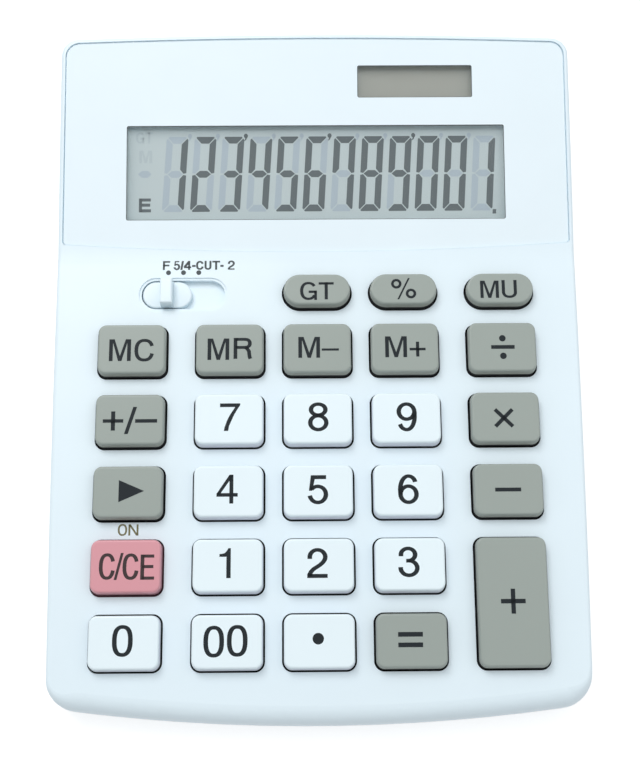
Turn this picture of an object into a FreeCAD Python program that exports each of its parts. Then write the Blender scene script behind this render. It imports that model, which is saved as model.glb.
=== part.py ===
# Twelve digit desktop calculator, millimetres.
# World frame: X to the right, Y to the back, Z up, origin under the middle of the case on the desk.
# The keyboard frame starts at the middle of the front edge of the sloping key field: its Y climbs
# the key field and its Z stands square on it. The display frame starts where the steeper display
# field begins, in the same way.

import FreeCAD, Part
import math
import os
import Sketcher
from FreeCAD import Placement, Rotation, Vector

doc = FreeCAD.newDocument("desk_calculator")
sheet = doc.addObject("Spreadsheet::Sheet", "dims")

SIZES = {
    # slopes of the two top fields and heights above the desk
    "keyboard_slope": 4.5,
    "display_slope": 11.5,
    "front_height": 12.0,
    "foot_height": 1.0,
    "parting_front": 5.2,
    "parting_slope": 2.4,
    # key field
    "key_width": 16.2,
    "key_depth": 12.3,
    "key_gap": 0.5,
    "key_rise": 2.9,
    "key_travel": 1.8,
    "key_corner": 1.9,
    "key_edge": 0.6,
    "key_wall": 1.2,
    "key_top": 1.4,
    "key_flange": 0.8,
    "flange_thickness": 0.9,
    "oval_depth": 7.9,
    "column_pitch": 21.1,
    "outer_step": 23.55,
    "row_pitch": 17.24,
    "oval_step": 14.75,
    "front_margin": 11.75,
    "side_margin": 10.6,
    "hinge_margin": 10.3,
    # case shell
    "case_wall": 1.9,
    "floor_wall": 1.8,
    "display_length": 56.6,
    "back_narrowing": 0.05,
    "front_narrowing": 1.35,
    "front_bow": 4.35,
    "back_bow": 1.2,
    "front_corner": 7.0,
    "back_corner": 4.2,
    "front_roll": 4.6,
    "rim_round": 0.9,
    "foot_edge": 1.4,
    "hinge_round": 40.0,
    "lip_height": 1.2,
    "lip_wall": 0.9,
    "fit_gap": 0.1,
    # display window and what lies under it
    "rim_width": 1.05,
    "window_sink": 0.4,
    "window_thickness": 1.0,
    "window_corner": 3.6,
    "window_front_corner": 1.0,
    "window_bow": 2.1,
    "window_start": 0.5,
    "window_end_gap": 0.15,
    "adhesive_thickness": 0.1,
    "adhesive_inset": 0.6,
    "shelf_thickness": 1.4,
    "view_border": 4.5,
    "view_depth": 24.2,
    "view_centre": 21.05,
    "shelf_clearance": 1.0,
    "clamp_side": 4.25,
    "glass_depth": 33.0,
    "glass_thickness": 1.1,
    "contact_ledge": 3.0,
    "clamp_thickness": 1.6,
    "clamp_margin": 3.0,
    "solar_width": 29.2,
    "solar_depth": 8.4,
    "solar_centre_x": 25.3,
    "solar_centre_y": 44.5,
    "solar_border": 2.2,
    "solar_thickness": 1.1,
    # mat and board
    "mat_drop": 7.1,
    "mat_thickness": 1.0,
    "dome_height": 2.6,
    "dome_base": 9.6,
    "dome_top": 6.4,
    "dome_wall": 0.7,
    "dome_roof": 1.0,
    "pill_width": 4.0,
    "stem_width": 4.6,
    "stem_web": 1.3,
    "board_thickness": 1.2,
    "board_gap": 1.2,
    "board_back": 2.5,
    "board_front": 0.4,
    "notch_reach": 3.0,
    "mat_margin": 1.8,
    "resin_width": 13.0,
    "resin_height": 1.6,
    "film_thickness": 0.15,
    "ribbon_width": 78.0,
    "brush_height": 1.1,
    "stem_depth": 5.0,
    "screw_shank": 2.2,
    "screw_head": 4.4,
    "screw_head_height": 1.2,
    "screw_grip": 4.0,
    "boss_width": 4.2,
    "post_gap": 0.6,
    "clamp_gap": 0.8,
    "post_seat": 3.0,
    "bore_gap": 0.4,
    "post_width": 6.6,
    # rounding switch
    "switch_x": -32.8,
    "switch_stop": 0.1,
    "switch_travel": 7.8,
    "knob_length": 12.5,
    "knob_depth": 7.1,
    "knob_sink": 0.3,
    "shutter_thickness": 1.0,
    "shutter_margin": 1.0,
    "grip_width": 3.0,
    "grip_rise": 2.4,
    "switch_step": 0.6,
    "switch_step_depth": 0.35,
    "rail_wall": 1.2,
    # battery bay, feet and case screws
    "cell_width": 11.6,
    "cell_height": 5.4,
    "cell_clearance": 0.3,
    "bay_x": 30.0,
    "bay_wall": 1.2,
    "cover_length": 24.0,
    "cover_width": 19.0,
    "cover_thickness": 1.5,
    "cover_inset": 0.7,
    "cover_rib_width": 0.7,
    "cover_rib_pitch": 1.6,
    "cover_travel": 20.0,
    "contact_thickness": 0.25,
    "contact_width": 3.5,
    "contact_foot": 0.6,
    "contact_reach": 2.0,
    "contact_bend": 0.8,
    "contact_tail": 2.5,
    "lead_width": 1.1,
    "cover_tongue": 0.9,
    "foot_width": 10.0,
    "foot_sink": 0.6,
    "foot_inset_x": 14.0,
    "foot_inset_y": 22.0,
    "front_post_y": 13.0,
    "back_post_inset": 10.0,
    "front_post_top": 6.2,
    "back_post_top": 14.0,
}

for row, (alias, number) in enumerate(SIZES.items(), start=1):
    sheet.set(f"A{row}", alias)
    sheet.set(f"B{row}", str(number))
    sheet.setAlias(f"B{row}", alias)
doc.recompute()


class Size:
    """A length that knows its number and the sheet expression it comes from."""

    def __init__(self, number, text):
        self.number = float(number)
        self.text = text

    def join(self, other, sign, number):
        text = other.text if isinstance(other, Size) else repr(float(other))
        return Size(number, f"({self.text} {sign} {text})")

    def __float__(self):
        return self.number

    def __add__(self, other):
        return self.join(other, "+", self.number + float(other))

    def __sub__(self, other):
        return self.join(other, "-", self.number - float(other))

    def __mul__(self, other):
        return self.join(other, "*", self.number * float(other))

    def __truediv__(self, other):
        return self.join(other, "/", self.number / float(other))

    def __neg__(self):
        return Size(-self.number, f"(0 - {self.text})")


def size(alias):
    return Size(sheet.get(alias), f"dims.{alias}")


def bind(target, path, length):
    """Tie a property to the sheet, or set it when it is a plain number."""
    if isinstance(length, Size):
        target.setExpression(path, length.text)
    else:
        setattr(target, path, length)


# frames of the two top fields
keyboard_slope = float(size("keyboard_slope"))
display_slope = float(size("display_slope"))
keyboard_sin = math.sin(math.radians(keyboard_slope))
keyboard_cos = math.cos(math.radians(keyboard_slope))
display_sin = math.sin(math.radians(display_slope))
display_cos = math.cos(math.radians(display_slope))

opening_width = size("key_width") + size("key_gap") * 2
opening_depth = size("key_depth") + size("key_gap") * 2
oval_opening_depth = size("oval_depth") + size("key_gap") * 2
first_row_y = size("front_margin") + opening_depth / 2
oval_row_y = first_row_y + size("row_pitch") * 4 + size("oval_step")
hinge_y = float(oval_row_y + size("hinge_margin"))
outer_column_x = size("column_pitch") + size("outer_step")
half_width = outer_column_x + opening_width / 2 + size("side_margin")

case_length = hinge_y * keyboard_cos + float(size("display_length")) * display_cos
keyboard_origin = Vector(0, -case_length / 2, float(size("front_height")))


def keyboard_point(x, y, z=0.0):
    """World place of a point given in the keyboard frame."""
    return keyboard_frame.multVec(Vector(float(x), float(y), float(z)))


def display_point(x, y, z=0.0):
    """World place of a point given in the display frame."""
    return display_frame.multVec(Vector(float(x), float(y), float(z)))


keyboard_frame = Placement(keyboard_origin, Rotation(Vector(1, 0, 0), keyboard_slope))
display_frame = Placement(keyboard_point(0, hinge_y), Rotation(Vector(1, 0, 0), display_slope))
world_frame = Placement()


# how far a cutting block stands past the faces that it cuts
overrun = 2.0


# small modelling helpers
def new_body(label, frame=world_frame):
    body = doc.addObject("PartDesign::Body", label)
    body.Label = label
    body.Placement = frame
    return body


def new_sketch(body, role="XY_Plane", height=0.0):
    """A sketch on one of the body's own origin planes, raised by height."""
    sketch = body.newObject("Sketcher::SketchObject", "Sketch")
    plane = next(item for item in body.Origin.OriginFeatures if item.Role == role)
    sketch.AttachmentSupport = (plane, "")
    sketch.MapMode = "FlatFace"
    sketch.AttachmentOffset = Placement(Vector(0, 0, float(height)), Rotation())
    if isinstance(height, Size):
        sketch.setExpression("AttachmentOffset.Base.z", height.text)
    return sketch


LENGTH_KINDS = ("DistanceX", "DistanceY", "Radius", "Diameter")


def constrain(sketch, rules):
    """Add rules in one step. A rule is a constraint's kind, its places and, for a dimension, its length."""
    constraints = []
    for kind, *places in rules:
        if kind in LENGTH_KINDS:
            places[-1] = float(places[-1])
        constraints.append(Sketcher.Constraint(kind, *places))
    numbers = sketch.addConstraint(constraints)
    for number, rule in zip(numbers, rules):
        if isinstance(rule[-1], Size):
            sketch.setExpression(f"Constraints[{number}]", rule[-1].text)


def pinned(element, point, x, y):
    """Rules that place one sketch point by its distances from the origin."""
    rules = []
    for kind, value, axis in (("DistanceX", x, -2), ("DistanceY", y, -1)):
        if abs(float(value)) < 1e-9:
            rules.append(("PointOnObject", element, point, axis))
        elif float(value) < 0:
            rules.append((kind, element, point, -1, 1, value * -1))
        else:
            rules.append((kind, -1, 1, element, point, value))
    return rules


def less(place, length):
    """A place moved back by a length, where the place may be a plain number."""
    return place - length if isinstance(place, Size) else -(length - place)


def rectangle_rules(sketch, width, depth, x, y):
    """Draw a rectangle about the point x, y and return the rules that hold it."""
    left = float(x) - float(width) / 2
    right = float(x) + float(width) / 2
    low = float(y) - float(depth) / 2
    high = float(y) + float(depth) / 2
    corners = [Vector(left, low), Vector(right, low), Vector(right, high), Vector(left, high)]
    lines = sketch.addGeometry([Part.LineSegment(corners[i], corners[(i + 1) % 4]) for i in range(4)])
    rules = []
    for i in range(4):
        rules.append(("Coincident", lines[i], 2, lines[(i + 1) % 4], 1))
        rules.append(("Horizontal" if i % 2 == 0 else "Vertical", lines[i]))
    rules.append(("DistanceX", lines[0], 1, lines[0], 2, width))
    rules.append(("DistanceY", lines[1], 1, lines[1], 2, depth))
    return rules + pinned(lines[0], 1, less(x, width / 2), less(y, depth / 2))


def rectangle(sketch, width, depth, x=0.0, y=0.0):
    """A rectangle about the point x, y."""
    constrain(sketch, rectangle_rules(sketch, width, depth, x, y))


def squares(sketch, width, places):
    """One square about each place."""
    rules = []
    for x, y in places:
        rules += rectangle_rules(sketch, width, width, x, y)
    constrain(sketch, rules)


def slot(sketch, length, depth, x=0.0, y=0.0):
    """A round ended slot along X about the point x, y."""
    radius = depth / 2
    half = length / 2 - radius
    x0, y0 = float(x), float(y)
    h0, r0 = float(half), float(radius)
    right_end = Part.Circle(Vector(x0 + h0, y0), Vector(0, 0, 1), r0)
    left_end = Part.Circle(Vector(x0 - h0, y0), Vector(0, 0, 1), r0)
    top, right, low, left = sketch.addGeometry([
        Part.LineSegment(Vector(x0 - h0, y0 + r0), Vector(x0 + h0, y0 + r0)),
        Part.ArcOfCircle(right_end, -math.pi / 2, math.pi / 2),
        Part.LineSegment(Vector(x0 + h0, y0 - r0), Vector(x0 - h0, y0 - r0)),
        Part.ArcOfCircle(left_end, math.pi / 2, 3 * math.pi / 2),
    ])
    rules = [
        ("Tangent", top, 2, right, 2),
        ("Tangent", right, 1, low, 1),
        ("Tangent", low, 2, left, 2),
        ("Tangent", left, 1, top, 1),
        ("Horizontal", top),
        ("Radius", right, radius),
        ("DistanceX", left, 3, right, 3, half * 2),
    ]
    constrain(sketch, rules + pinned(left, 3, less(x, half), y))


def circle(sketch, diameter, x=0.0, y=0.0):
    ring = sketch.addGeometry(Part.Circle(Vector(float(x), float(y)), Vector(0, 0, 1), float(diameter) / 2))
    constrain(sketch, [("Diameter", ring, diameter)] + pinned(ring, 3, x, y))


def pad(body, sketch, length, down=False, both=False, taper=0.0):
    feature = body.newObject("PartDesign::Pad", "Pad")
    feature.Profile = sketch
    bind(feature, "Length", length)
    feature.Reversed = down
    if both:
        feature.SideType = "Symmetric"
    if taper:
        feature.TaperAngle = taper
    sketch.Visibility = False
    return feature


def pocket(body, sketch, length, up=False, both=False):
    feature = body.newObject("PartDesign::Pocket", "Pocket")
    feature.Profile = sketch
    bind(feature, "Length", length)
    feature.Reversed = up
    if both:
        feature.SideType = "Symmetric"
    return feature


def chosen_edges(base, chooser):
    doc.recompute()
    return [f"Edge{i}" for i, edge in enumerate(base.Shape.Edges, start=1) if chooser(edge)]


def round_edges(body, base, chooser, radius):
    """Fillet the edges of the body's last feature that the chooser picks."""
    names = chosen_edges(base, chooser)
    feature = body.newObject("PartDesign::Fillet", "Fillet")
    feature.Base = (base, names)
    bind(feature, "Radius", radius)
    return feature


def bevel_edges(body, base, chooser, width):
    """Chamfer the edges of the body's last feature that the chooser picks."""
    names = chosen_edges(base, chooser)
    feature = body.newObject("PartDesign::Chamfer", "Chamfer")
    feature.Base = (base, names)
    bind(feature, "Size", width)
    return feature


def upright(edge):
    """True for a straight edge along the body's Z."""
    if len(edge.Vertexes) != 2:
        return False
    step = edge.Vertexes[1].Point - edge.Vertexes[0].Point
    return math.hypot(step.x, step.y) < 1e-6 and abs(step.z) > 1e-6


def at_height(level):
    """A chooser for edges that lie wholly at one height."""
    return lambda edge: all(abs(vertex.Z - float(level)) < 1e-5 for vertex in edge.Vertexes)


# the glass panel and its clamp fill the width between the side walls
half_back = half_width - size("back_narrowing")
half_front = half_width - size("front_narrowing")
clamp_half = half_back - size("case_wall") - size("clamp_side")
glass_width = (clamp_half - size("boss_width") - size("clamp_gap") * 1.5) * 2
view_width = glass_width - size("view_border") * 2

# keys
flange_top = -(size("case_wall") + size("fit_gap"))
flange_bottom = flange_top - size("flange_thickness")
dome_top_z = -(size("mat_drop") - size("dome_height"))


def key_block(body, width, depth, oval, bottom, height, inset=0.0):
    """Pad the key's plan outline, inset all round, from bottom up by height."""
    sketch = new_sketch(body, height=bottom)
    if oval:
        slot(sketch, width - inset * 2, depth - inset * 2)
        return pad(body, sketch, height)
    rectangle(sketch, width - inset * 2, depth - inset * 2)
    block = pad(body, sketch, height)
    return round_edges(body, block, upright_between(bottom, bottom + height), size("key_corner") - inset)


def upright_between(low, high):
    """A chooser for upright edges that span exactly these two heights."""
    def chooser(edge):
        if not upright(edge):
            return False
        levels = sorted(vertex.Z for vertex in edge.Vertexes)
        return abs(levels[0] - float(low)) < 1e-5 and abs(levels[1] - float(high)) < 1e-5
    return chooser


def make_key(label, x, y, width, depth, oval=False):
    """A hollow cap with a bevelled top edge, a flange under the case wall and a cross stem on its dome."""
    frame = keyboard_frame.multiply(Placement(Vector(float(x), float(y), 0), Rotation()))
    body = new_body(label, frame)
    cap_height = size("key_rise") - flange_bottom
    cap = key_block(body, width, depth, oval, flange_bottom, cap_height)
    body.Tip = bevel_edges(body, cap, at_height(size("key_rise")), size("key_edge"))

    hollow = new_sketch(body, height=flange_bottom)
    inner_width = width - size("key_wall") * 2
    inner_depth = depth - size("key_wall") * 2
    if oval:
        slot(hollow, inner_width, inner_depth)
    else:
        rectangle(hollow, inner_width, inner_depth)
    pocket(body, hollow, cap_height - size("key_top"), up=True)

    flange = new_sketch(body, height=flange_bottom)
    outer_width = width + size("key_flange") * 2 + size("key_gap")
    outer_depth = depth + size("key_flange") * 2 + size("key_gap")
    if oval:
        slot(flange, outer_width, outer_depth)
        slot(flange, inner_width, inner_depth)
    else:
        rectangle(flange, outer_width, outer_depth)
        rectangle(flange, inner_width, inner_depth)
    pad(body, flange, size("flange_thickness"))

    stem_plans = [(size("stem_width"), size("stem_web")), (size("stem_web"), size("stem_width"))]
    for web_width, web_depth in stem_plans:
        stem = new_sketch(body, height=dome_top_z)
        rectangle(stem, web_width, web_depth)
        body.Tip = pad(body, stem, size("key_rise") - size("key_top") / 2 - dome_top_z)
    return body


column_x = {
    -2: -outer_column_x,
    -1: -size("column_pitch"),
    0: 0.0,
    1: size("column_pitch"),
    2: outer_column_x,
}
row_y = [first_row_y + size("row_pitch") * row for row in range(5)]

# rows from the front edge up, each with its key names from left to right
KEY_ROWS = [
    ["key_0", "key_00", "key_point", "key_equals"],
    ["key_clear", "key_1", "key_2", "key_3"],
    ["key_backspace", "key_4", "key_5", "key_6", "key_minus"],
    ["key_sign", "key_7", "key_8", "key_9", "key_multiply"],
    ["key_memory_clear", "key_memory_recall", "key_memory_minus", "key_memory_plus", "key_divide"],
]
OVAL_KEYS = {0: "key_grand_total", 1: "key_percent", 2: "key_mark_up"}

key_places = []
for row, names in enumerate(KEY_ROWS):
    for column, name in enumerate(names, start=-2):
        key_places.append((name, column_x[column], row_y[row]))

tall_depth = size("key_depth") + size("row_pitch")
tall_y = row_y[0] + size("row_pitch") / 2

for name, x, y in key_places:
    make_key(name, x, y, size("key_width"), size("key_depth"))
make_key("key_plus", outer_column_x, tall_y, size("key_width"), tall_depth)
for column, name in OVAL_KEYS.items():
    make_key(name, column_x[column], oval_row_y, size("key_width"), size("oval_depth"), oval=True)
doc.recompute()


# case outlines, seen from above, as blocks taller than the case
tall = size("front_height") + size("display_length")
def outline_block(label, inset):
    """The case's outline seen from above, four bowed sides and round corners, as a tall block."""
    body = new_body(label)
    sketch = new_sketch(body)
    front_x = float(half_front - inset)
    back_x = float(half_back - inset)
    front_y = -case_length / 2 + float(size("front_bow") + inset)
    back_y = case_length / 2 - float(size("back_bow") + inset)
    middle_x = float(half_width - inset)
    middle_y = (front_y + back_y) / 2
    corners = [(-front_x, front_y), (front_x, front_y), (back_x, back_y), (-back_x, back_y)]
    middles = [
        (0, front_y - float(size("front_bow"))),
        (middle_x, middle_y),
        (0, back_y + float(size("back_bow"))),
        (-middle_x, middle_y),
    ]
    for i in range(4):
        arc = Part.Arc(Vector(*corners[i]), Vector(*middles[i]), Vector(*corners[(i + 1) % 4]))
        number = sketch.addGeometry(arc)
        sketch.addConstraint(Sketcher.Constraint("Block", number))
    block = pad(body, sketch, tall)
    front = round_edges(body, block, lambda edge: upright(edge) and edge.Vertexes[0].Y < 0,
                        size("front_corner") - inset)
    body.Tip = round_edges(body, front, lambda edge: upright(edge) and edge.Vertexes[0].Y > 0
                           and abs(abs(edge.Vertexes[0].X) - back_x) < 0.01,
                           size("back_corner") - inset)
    return body


def flat(point):
    """A world point as a point of a sketch in the YZ plane."""
    return Vector(point.y, point.z)


def parting_point(y, raise_by=0.0):
    """A point of the line where the two case halves meet, seen from the side."""
    climb = math.tan(math.radians(float(size("parting_slope")))) * (y + case_length / 2)
    return Vector(y, float(size("parting_front")) + climb + float(raise_by))


side_reach = case_length / 2 + overrun * 5


def side_block(label, path):
    """A block across the whole width whose side view is a closed path of lines and arcs."""
    body = new_body(label)
    sketch = new_sketch(body, "YZ_Plane")
    for piece in path:
        number = sketch.addGeometry(piece)
        sketch.addConstraint(Sketcher.Constraint("Block", number))
    body.Tip = pad(body, sketch, (half_width + overrun) * 2, both=True)
    return body


def lines_through(points):
    """Straight runs from each point to the next."""
    return [Part.LineSegment(start, end) for start, end in zip(points, points[1:])]


def blended_top(drop):
    """The two top fields from the back to the front, joined by a wide arc, lowered by drop."""
    swing = math.radians(display_slope - keyboard_slope) / 2
    radius = float(size("hinge_round")) + float(drop)
    tangent = radius * math.tan(swing)
    knee = math.radians(keyboard_slope) + swing
    hinge = display_point(0, 0) - Vector(0, -math.sin(knee), math.cos(knee)) * (float(drop) / math.cos(swing))
    sag = radius * (1 / math.cos(swing) - 1)
    start = hinge - Vector(0, keyboard_cos, keyboard_sin) * tangent
    end = hinge + Vector(0, display_cos, display_sin) * tangent
    middle = hinge + Vector(0, -math.sin(knee), math.cos(knee)) * sag
    front_run = (start.y + side_reach) / keyboard_cos
    back_run = (side_reach - end.y) / display_cos
    front = start - Vector(0, keyboard_cos, keyboard_sin) * front_run
    back = end + Vector(0, display_cos, display_sin) * back_run
    return [
        Part.LineSegment(flat(back), flat(end)),
        Part.Arc(flat(end), flat(middle), flat(start)),
        Part.LineSegment(flat(start), flat(front)),
    ]


def stepped_top(keyboard_drop, display_drop):
    """The inside of the two top fields from the back to the front, with a step under the hinge."""
    knee = flat(keyboard_point(0, hinge_y, -float(keyboard_drop)))
    deep = flat(display_point(0, 0, -float(display_drop)))
    foot = Vector(knee.x, deep.y + (knee.x - deep.x) * display_sin / display_cos)
    front = Vector(-side_reach, knee.y - (knee.x + side_reach) * keyboard_sin / keyboard_cos)
    back = Vector(side_reach, foot.y + (side_reach - foot.x) * display_sin / display_cos)
    return lines_through([back, foot, knee, front])


def closed_profile(top, low_front, low_back):
    """Close a top path with a straight lower line."""
    back = top[0].StartPoint
    front = top[-1].EndPoint
    return top + lines_through([front, low_front, low_back, back])


def common(label, first, second):
    shape = doc.addObject("Part::Common", label)
    shape.Base = first
    shape.Tool = second
    return shape


def cut(label, base, tool):
    shape = doc.addObject("Part::Cut", label)
    shape.Base = base
    shape.Tool = tool
    return shape


def fuse(label, pieces):
    shape = doc.addObject("Part::MultiFuse", label)
    shape.Shapes = pieces
    shape.Refine = True
    return shape


def group(label, pieces):
    """Separate solids kept in one node."""
    shape = doc.addObject("Part::Compound", label)
    shape.Links = pieces
    return shape


# upper case
outer_outline = outline_block("outer_outline", 0.0)
inner_outline = outline_block("inner_outline", size("case_wall"))
upper_profile = side_block(
    "upper_profile",
    closed_profile(blended_top(0.0), parting_point(-side_reach), parting_point(side_reach)))
upper_block = common("upper_block", outer_outline, upper_profile)
doc.recompute()


def rim_edges(shape):
    """Edges round the top of the case with the fillet radius at each end."""
    chosen = []
    for number, edge in enumerate(shape.Edges, start=1):
        middle = edge.valueAt((edge.FirstParameter + edge.LastParameter) / 2)
        on_hinge = abs(middle.x) < 1e-3 and abs(middle.y) < case_length / 4
        on_parting = abs(middle.z - parting_point(middle.y).y) < 1e-3
        if upright(edge) or on_hinge or on_parting:
            continue
        radii = []
        for vertex in (edge.firstVertex(), edge.lastVertex()):
            on_front = abs(abs(vertex.X) - float(half_front)) > 2 and vertex.Y < 0
            radii.append(float(size("front_roll") if on_front else size("rim_round")))
        chosen.append((number, radii[0], radii[1]))
    return chosen


upper_rounded = doc.addObject("Part::Fillet", "upper_rounded")
upper_rounded.Base = upper_block
upper_rounded.Edges = rim_edges(upper_block.Shape)
doc.recompute()

shelf_drop = size("window_sink") + size("window_thickness") + size("adhesive_thickness")
shelf_bottom = shelf_drop + size("shelf_thickness")
below = 6.0
upper_cavity = common("upper_cavity", inner_outline, side_block(
    "upper_cavity_profile",
    closed_profile(stepped_top(size("case_wall"), shelf_bottom),
                   parting_point(-side_reach, -below), parting_point(side_reach, -below))))


def side_x(world_y, inset=0.0):
    """Half width of the case outline at a place along the case."""
    front_y = -case_length / 2 + float(size("front_bow"))
    back_y = case_length / 2 - float(size("back_bow"))
    share = (world_y - front_y) / (back_y - front_y)
    chord_x = float(half_front) + share * float(half_back - half_front)
    bow = float(half_width) - float(half_front + half_back) / 2
    return chord_x + 4 * bow * share * (1 - share) - float(inset)


window_end = size("display_length") - size("rim_width") - size("window_end_gap")
window_middle = float(window_end) / 2


def window_outline(body, height, inset=0.0):
    """The display window's outline: bowed front and back edges between two straight sides."""
    sketch = new_sketch(body, height=height)
    low_y = float(size("window_start") + size("window_bow") + inset)
    high_y = float(window_end - size("back_bow") - inset)
    low_x = side_x(display_point(0, low_y).y, size("rim_width") + inset)
    high_x = side_x(display_point(0, high_y).y, size("rim_width") + inset)
    low_middle = float(size("window_start") + inset)
    high_middle = float(window_end - inset)
    pieces = [
        Part.Arc(Vector(-low_x, low_y), Vector(0, low_middle), Vector(low_x, low_y)),
        Part.LineSegment(Vector(low_x, low_y), Vector(high_x, high_y)),
        Part.Arc(Vector(high_x, high_y), Vector(0, high_middle), Vector(-high_x, high_y)),
        Part.LineSegment(Vector(-high_x, high_y), Vector(-low_x, low_y)),
    ]
    for piece in pieces:
        number = sketch.addGeometry(piece)
        sketch.addConstraint(Sketcher.Constraint("Block", number))
    return sketch


def round_window(body, block, inset):
    """Round the corners of a window shape: wide at the back of the case, small at the front."""
    back = round_edges(body, block, lambda edge: upright(edge) and edge.Vertexes[0].Y > window_middle,
                       size("window_corner") - inset)
    return round_edges(body, back, lambda edge: upright(edge) and edge.Vertexes[0].Y < window_middle,
                       size("window_front_corner") - inset)


def view_opening(body, height, margin):
    sketch = new_sketch(body, height=height)
    rectangle(sketch, view_width + margin * 2, size("view_depth") + margin * 2, 0.0, size("view_centre"))
    return sketch


def solar_opening(body, height, margin):
    sketch = new_sketch(body, height=height)
    rectangle(sketch, size("solar_width") + margin * 2, size("solar_depth") + margin * 2,
              size("solar_centre_x"), size("solar_centre_y"))
    return sketch


# display recess with its two openings
recess = new_body("display_recess", display_frame)
recess_block = pad(recess, window_outline(recess, -shelf_drop), shelf_drop + overrun)
recess.Tip = round_window(recess, recess_block, 0.0)
shelf_hole_depth = size("shelf_thickness") + shelf_drop / 2 + overrun
for opening in (view_opening, solar_opening):
    hole = opening(recess, -(shelf_bottom + overrun), size("shelf_clearance"))
    recess.Tip = pad(recess, hole, shelf_hole_depth)


def opening_block(label, x, y, depth, oval=False):
    """One key opening as a block through the case wall, round like its key."""
    body = new_body(label, keyboard_frame)
    low = -(size("case_wall") + overrun)
    height = size("case_wall") + overrun * 2
    sketch = new_sketch(body, height=low)
    if oval:
        slot(sketch, opening_width, depth, x, y)
        block = pad(body, sketch, height)
    else:
        rectangle(sketch, opening_width, depth, x, y)
        block = pad(body, sketch, height)
        block = round_edges(body, block, upright, size("key_corner") + size("key_gap"))
    body.Tip = block
    return body


def repeat(body, role, pitch, count):
    """Repeat the body's openings along one of its axes."""
    doc.recompute()
    axis = next(item for item in body.Origin.OriginFeatures if item.Role == role)
    pattern = body.newObject("PartDesign::LinearPattern", "LinearPattern")
    pattern.Originals = [item for item in body.Group if item.isDerivedFrom("PartDesign::FeatureAddSub")]
    pattern.Direction = (axis, "")
    pattern.Mode = "Spacing"
    bind(pattern, "Offset", pitch)
    pattern.Occurrences = count
    body.Tip = pattern


opening_tools = []
for column in range(-2, 3):
    rows = 5 if column < 2 else 3
    tool = opening_block(f"openings_{column + 3}", column_x[column], row_y[5 - rows], opening_depth)
    repeat(tool, "Y_Axis", size("row_pitch"), rows)
    opening_tools.append(tool)
opening_tools.append(opening_block("tall_opening", outer_column_x, tall_y, opening_depth + size("row_pitch")))
for column in OVAL_KEYS:
    oval_opening = opening_block(f"oval_opening_{column + 1}", column_x[column], oval_row_y,
                                 oval_opening_depth, oval=True)
    opening_tools.append(oval_opening)

# rounding switch: opening with a shallow step round it, and the guide rails under it
switch_length = size("knob_length") + size("switch_travel") + size("switch_stop") * 2
switch_depth = size("knob_depth") + size("fit_gap") * 2
shutter_length = size("knob_length") + size("switch_travel") * 2 + size("shutter_margin") * 2
shutter_depth = size("knob_depth") + size("shutter_margin") * 2
shutter_drop = size("case_wall") + size("fit_gap")

switch_opening = new_body("switch_opening", keyboard_frame)
through = new_sketch(switch_opening, height=-(size("case_wall") + overrun))
slot(through, switch_length, switch_depth, size("switch_x"), oval_row_y)
pad(switch_opening, through, size("case_wall") + overrun * 2)
step = new_sketch(switch_opening, height=-size("switch_step_depth"))
slot(step, switch_length + size("switch_step") * 2, switch_depth + size("switch_step") * 2,
     size("switch_x"), oval_row_y)
switch_opening.Tip = pad(switch_opening, step, size("switch_step_depth") + overrun)
opening_tools.append(switch_opening)

rail_drop = shutter_drop + size("shutter_thickness") + size("fit_gap")
switch_rails = new_body("switch_rails", keyboard_frame)
for side in (-1, 1):
    rail = new_sketch(switch_rails, height=-rail_drop)
    rail_y = oval_row_y + (shutter_depth / 2 + size("fit_gap") * 2 + size("rail_wall") / 2) * side
    rectangle(rail, shutter_length, size("rail_wall"), size("switch_x"), rail_y)
    switch_rails.Tip = pad(switch_rails, rail, rail_drop - size("case_wall") / 2)

# bosses under the case: for the board, the clamp plate and the case screws
board_top = -(size("mat_drop") + size("mat_thickness"))
board_bottom = board_top - size("board_thickness")
inner_boss_x = size("column_pitch") + size("outer_step") / 2
board_bosses = []
for side in (-1, 1):
    board_bosses.append((inner_boss_x * side, (row_y[0] + row_y[1]) / 2))
    board_bosses.append((inner_boss_x * side, (row_y[3] + row_y[4]) / 2))


def bore_posts(body, places, bottom, top, width, bore, bore_depth):
    """Round bosses from bottom to top, each with a blind screw hole from below."""
    for x, y in places:
        boss = new_sketch(body, height=bottom)
        circle(boss, width, x, y)
        pad(body, boss, top - bottom)
    for x, y in places:
        hole = new_sketch(body, height=bottom)
        circle(hole, bore, x, y)
        body.Tip = pocket(body, hole, bore_depth, up=True)
    return body


board_posts = bore_posts(new_body("board_posts", keyboard_frame), board_bosses, board_top,
                         -(size("case_wall") / 2), size("boss_width"), size("screw_shank"),
                         size("screw_grip") + 0.5)

glass_bottom = -(shelf_bottom + size("glass_thickness") * 2)
clamp_x = clamp_half - size("boss_width") / 2 - size("clamp_gap") / 2
clamp_bosses = [(clamp_x * side, size("view_centre")) for side in (-1, 1)]
clamp_posts = bore_posts(new_body("clamp_posts", display_frame), clamp_bosses, glass_bottom,
                         -shelf_drop - 0.5, size("boss_width"), size("screw_shank"),
                         size("glass_thickness") * 2 + size("shelf_thickness") - 0.4)

front_post_x = half_front - size("case_wall") - size("post_width") / 2 - size("post_gap")
back_post_x = half_back - size("case_wall") - size("post_width") / 2 - size("post_gap") * 3
front_post_y = keyboard_point(0, size("front_post_y")).y
back_post_y = case_length / 2 - float(size("back_post_inset"))
case_posts = []
for side in (-1, 1):
    case_posts.append((front_post_x * side, front_post_y, size("front_post_top")))
    case_posts.append((back_post_x * side, back_post_y, size("back_post_top")))


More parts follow.
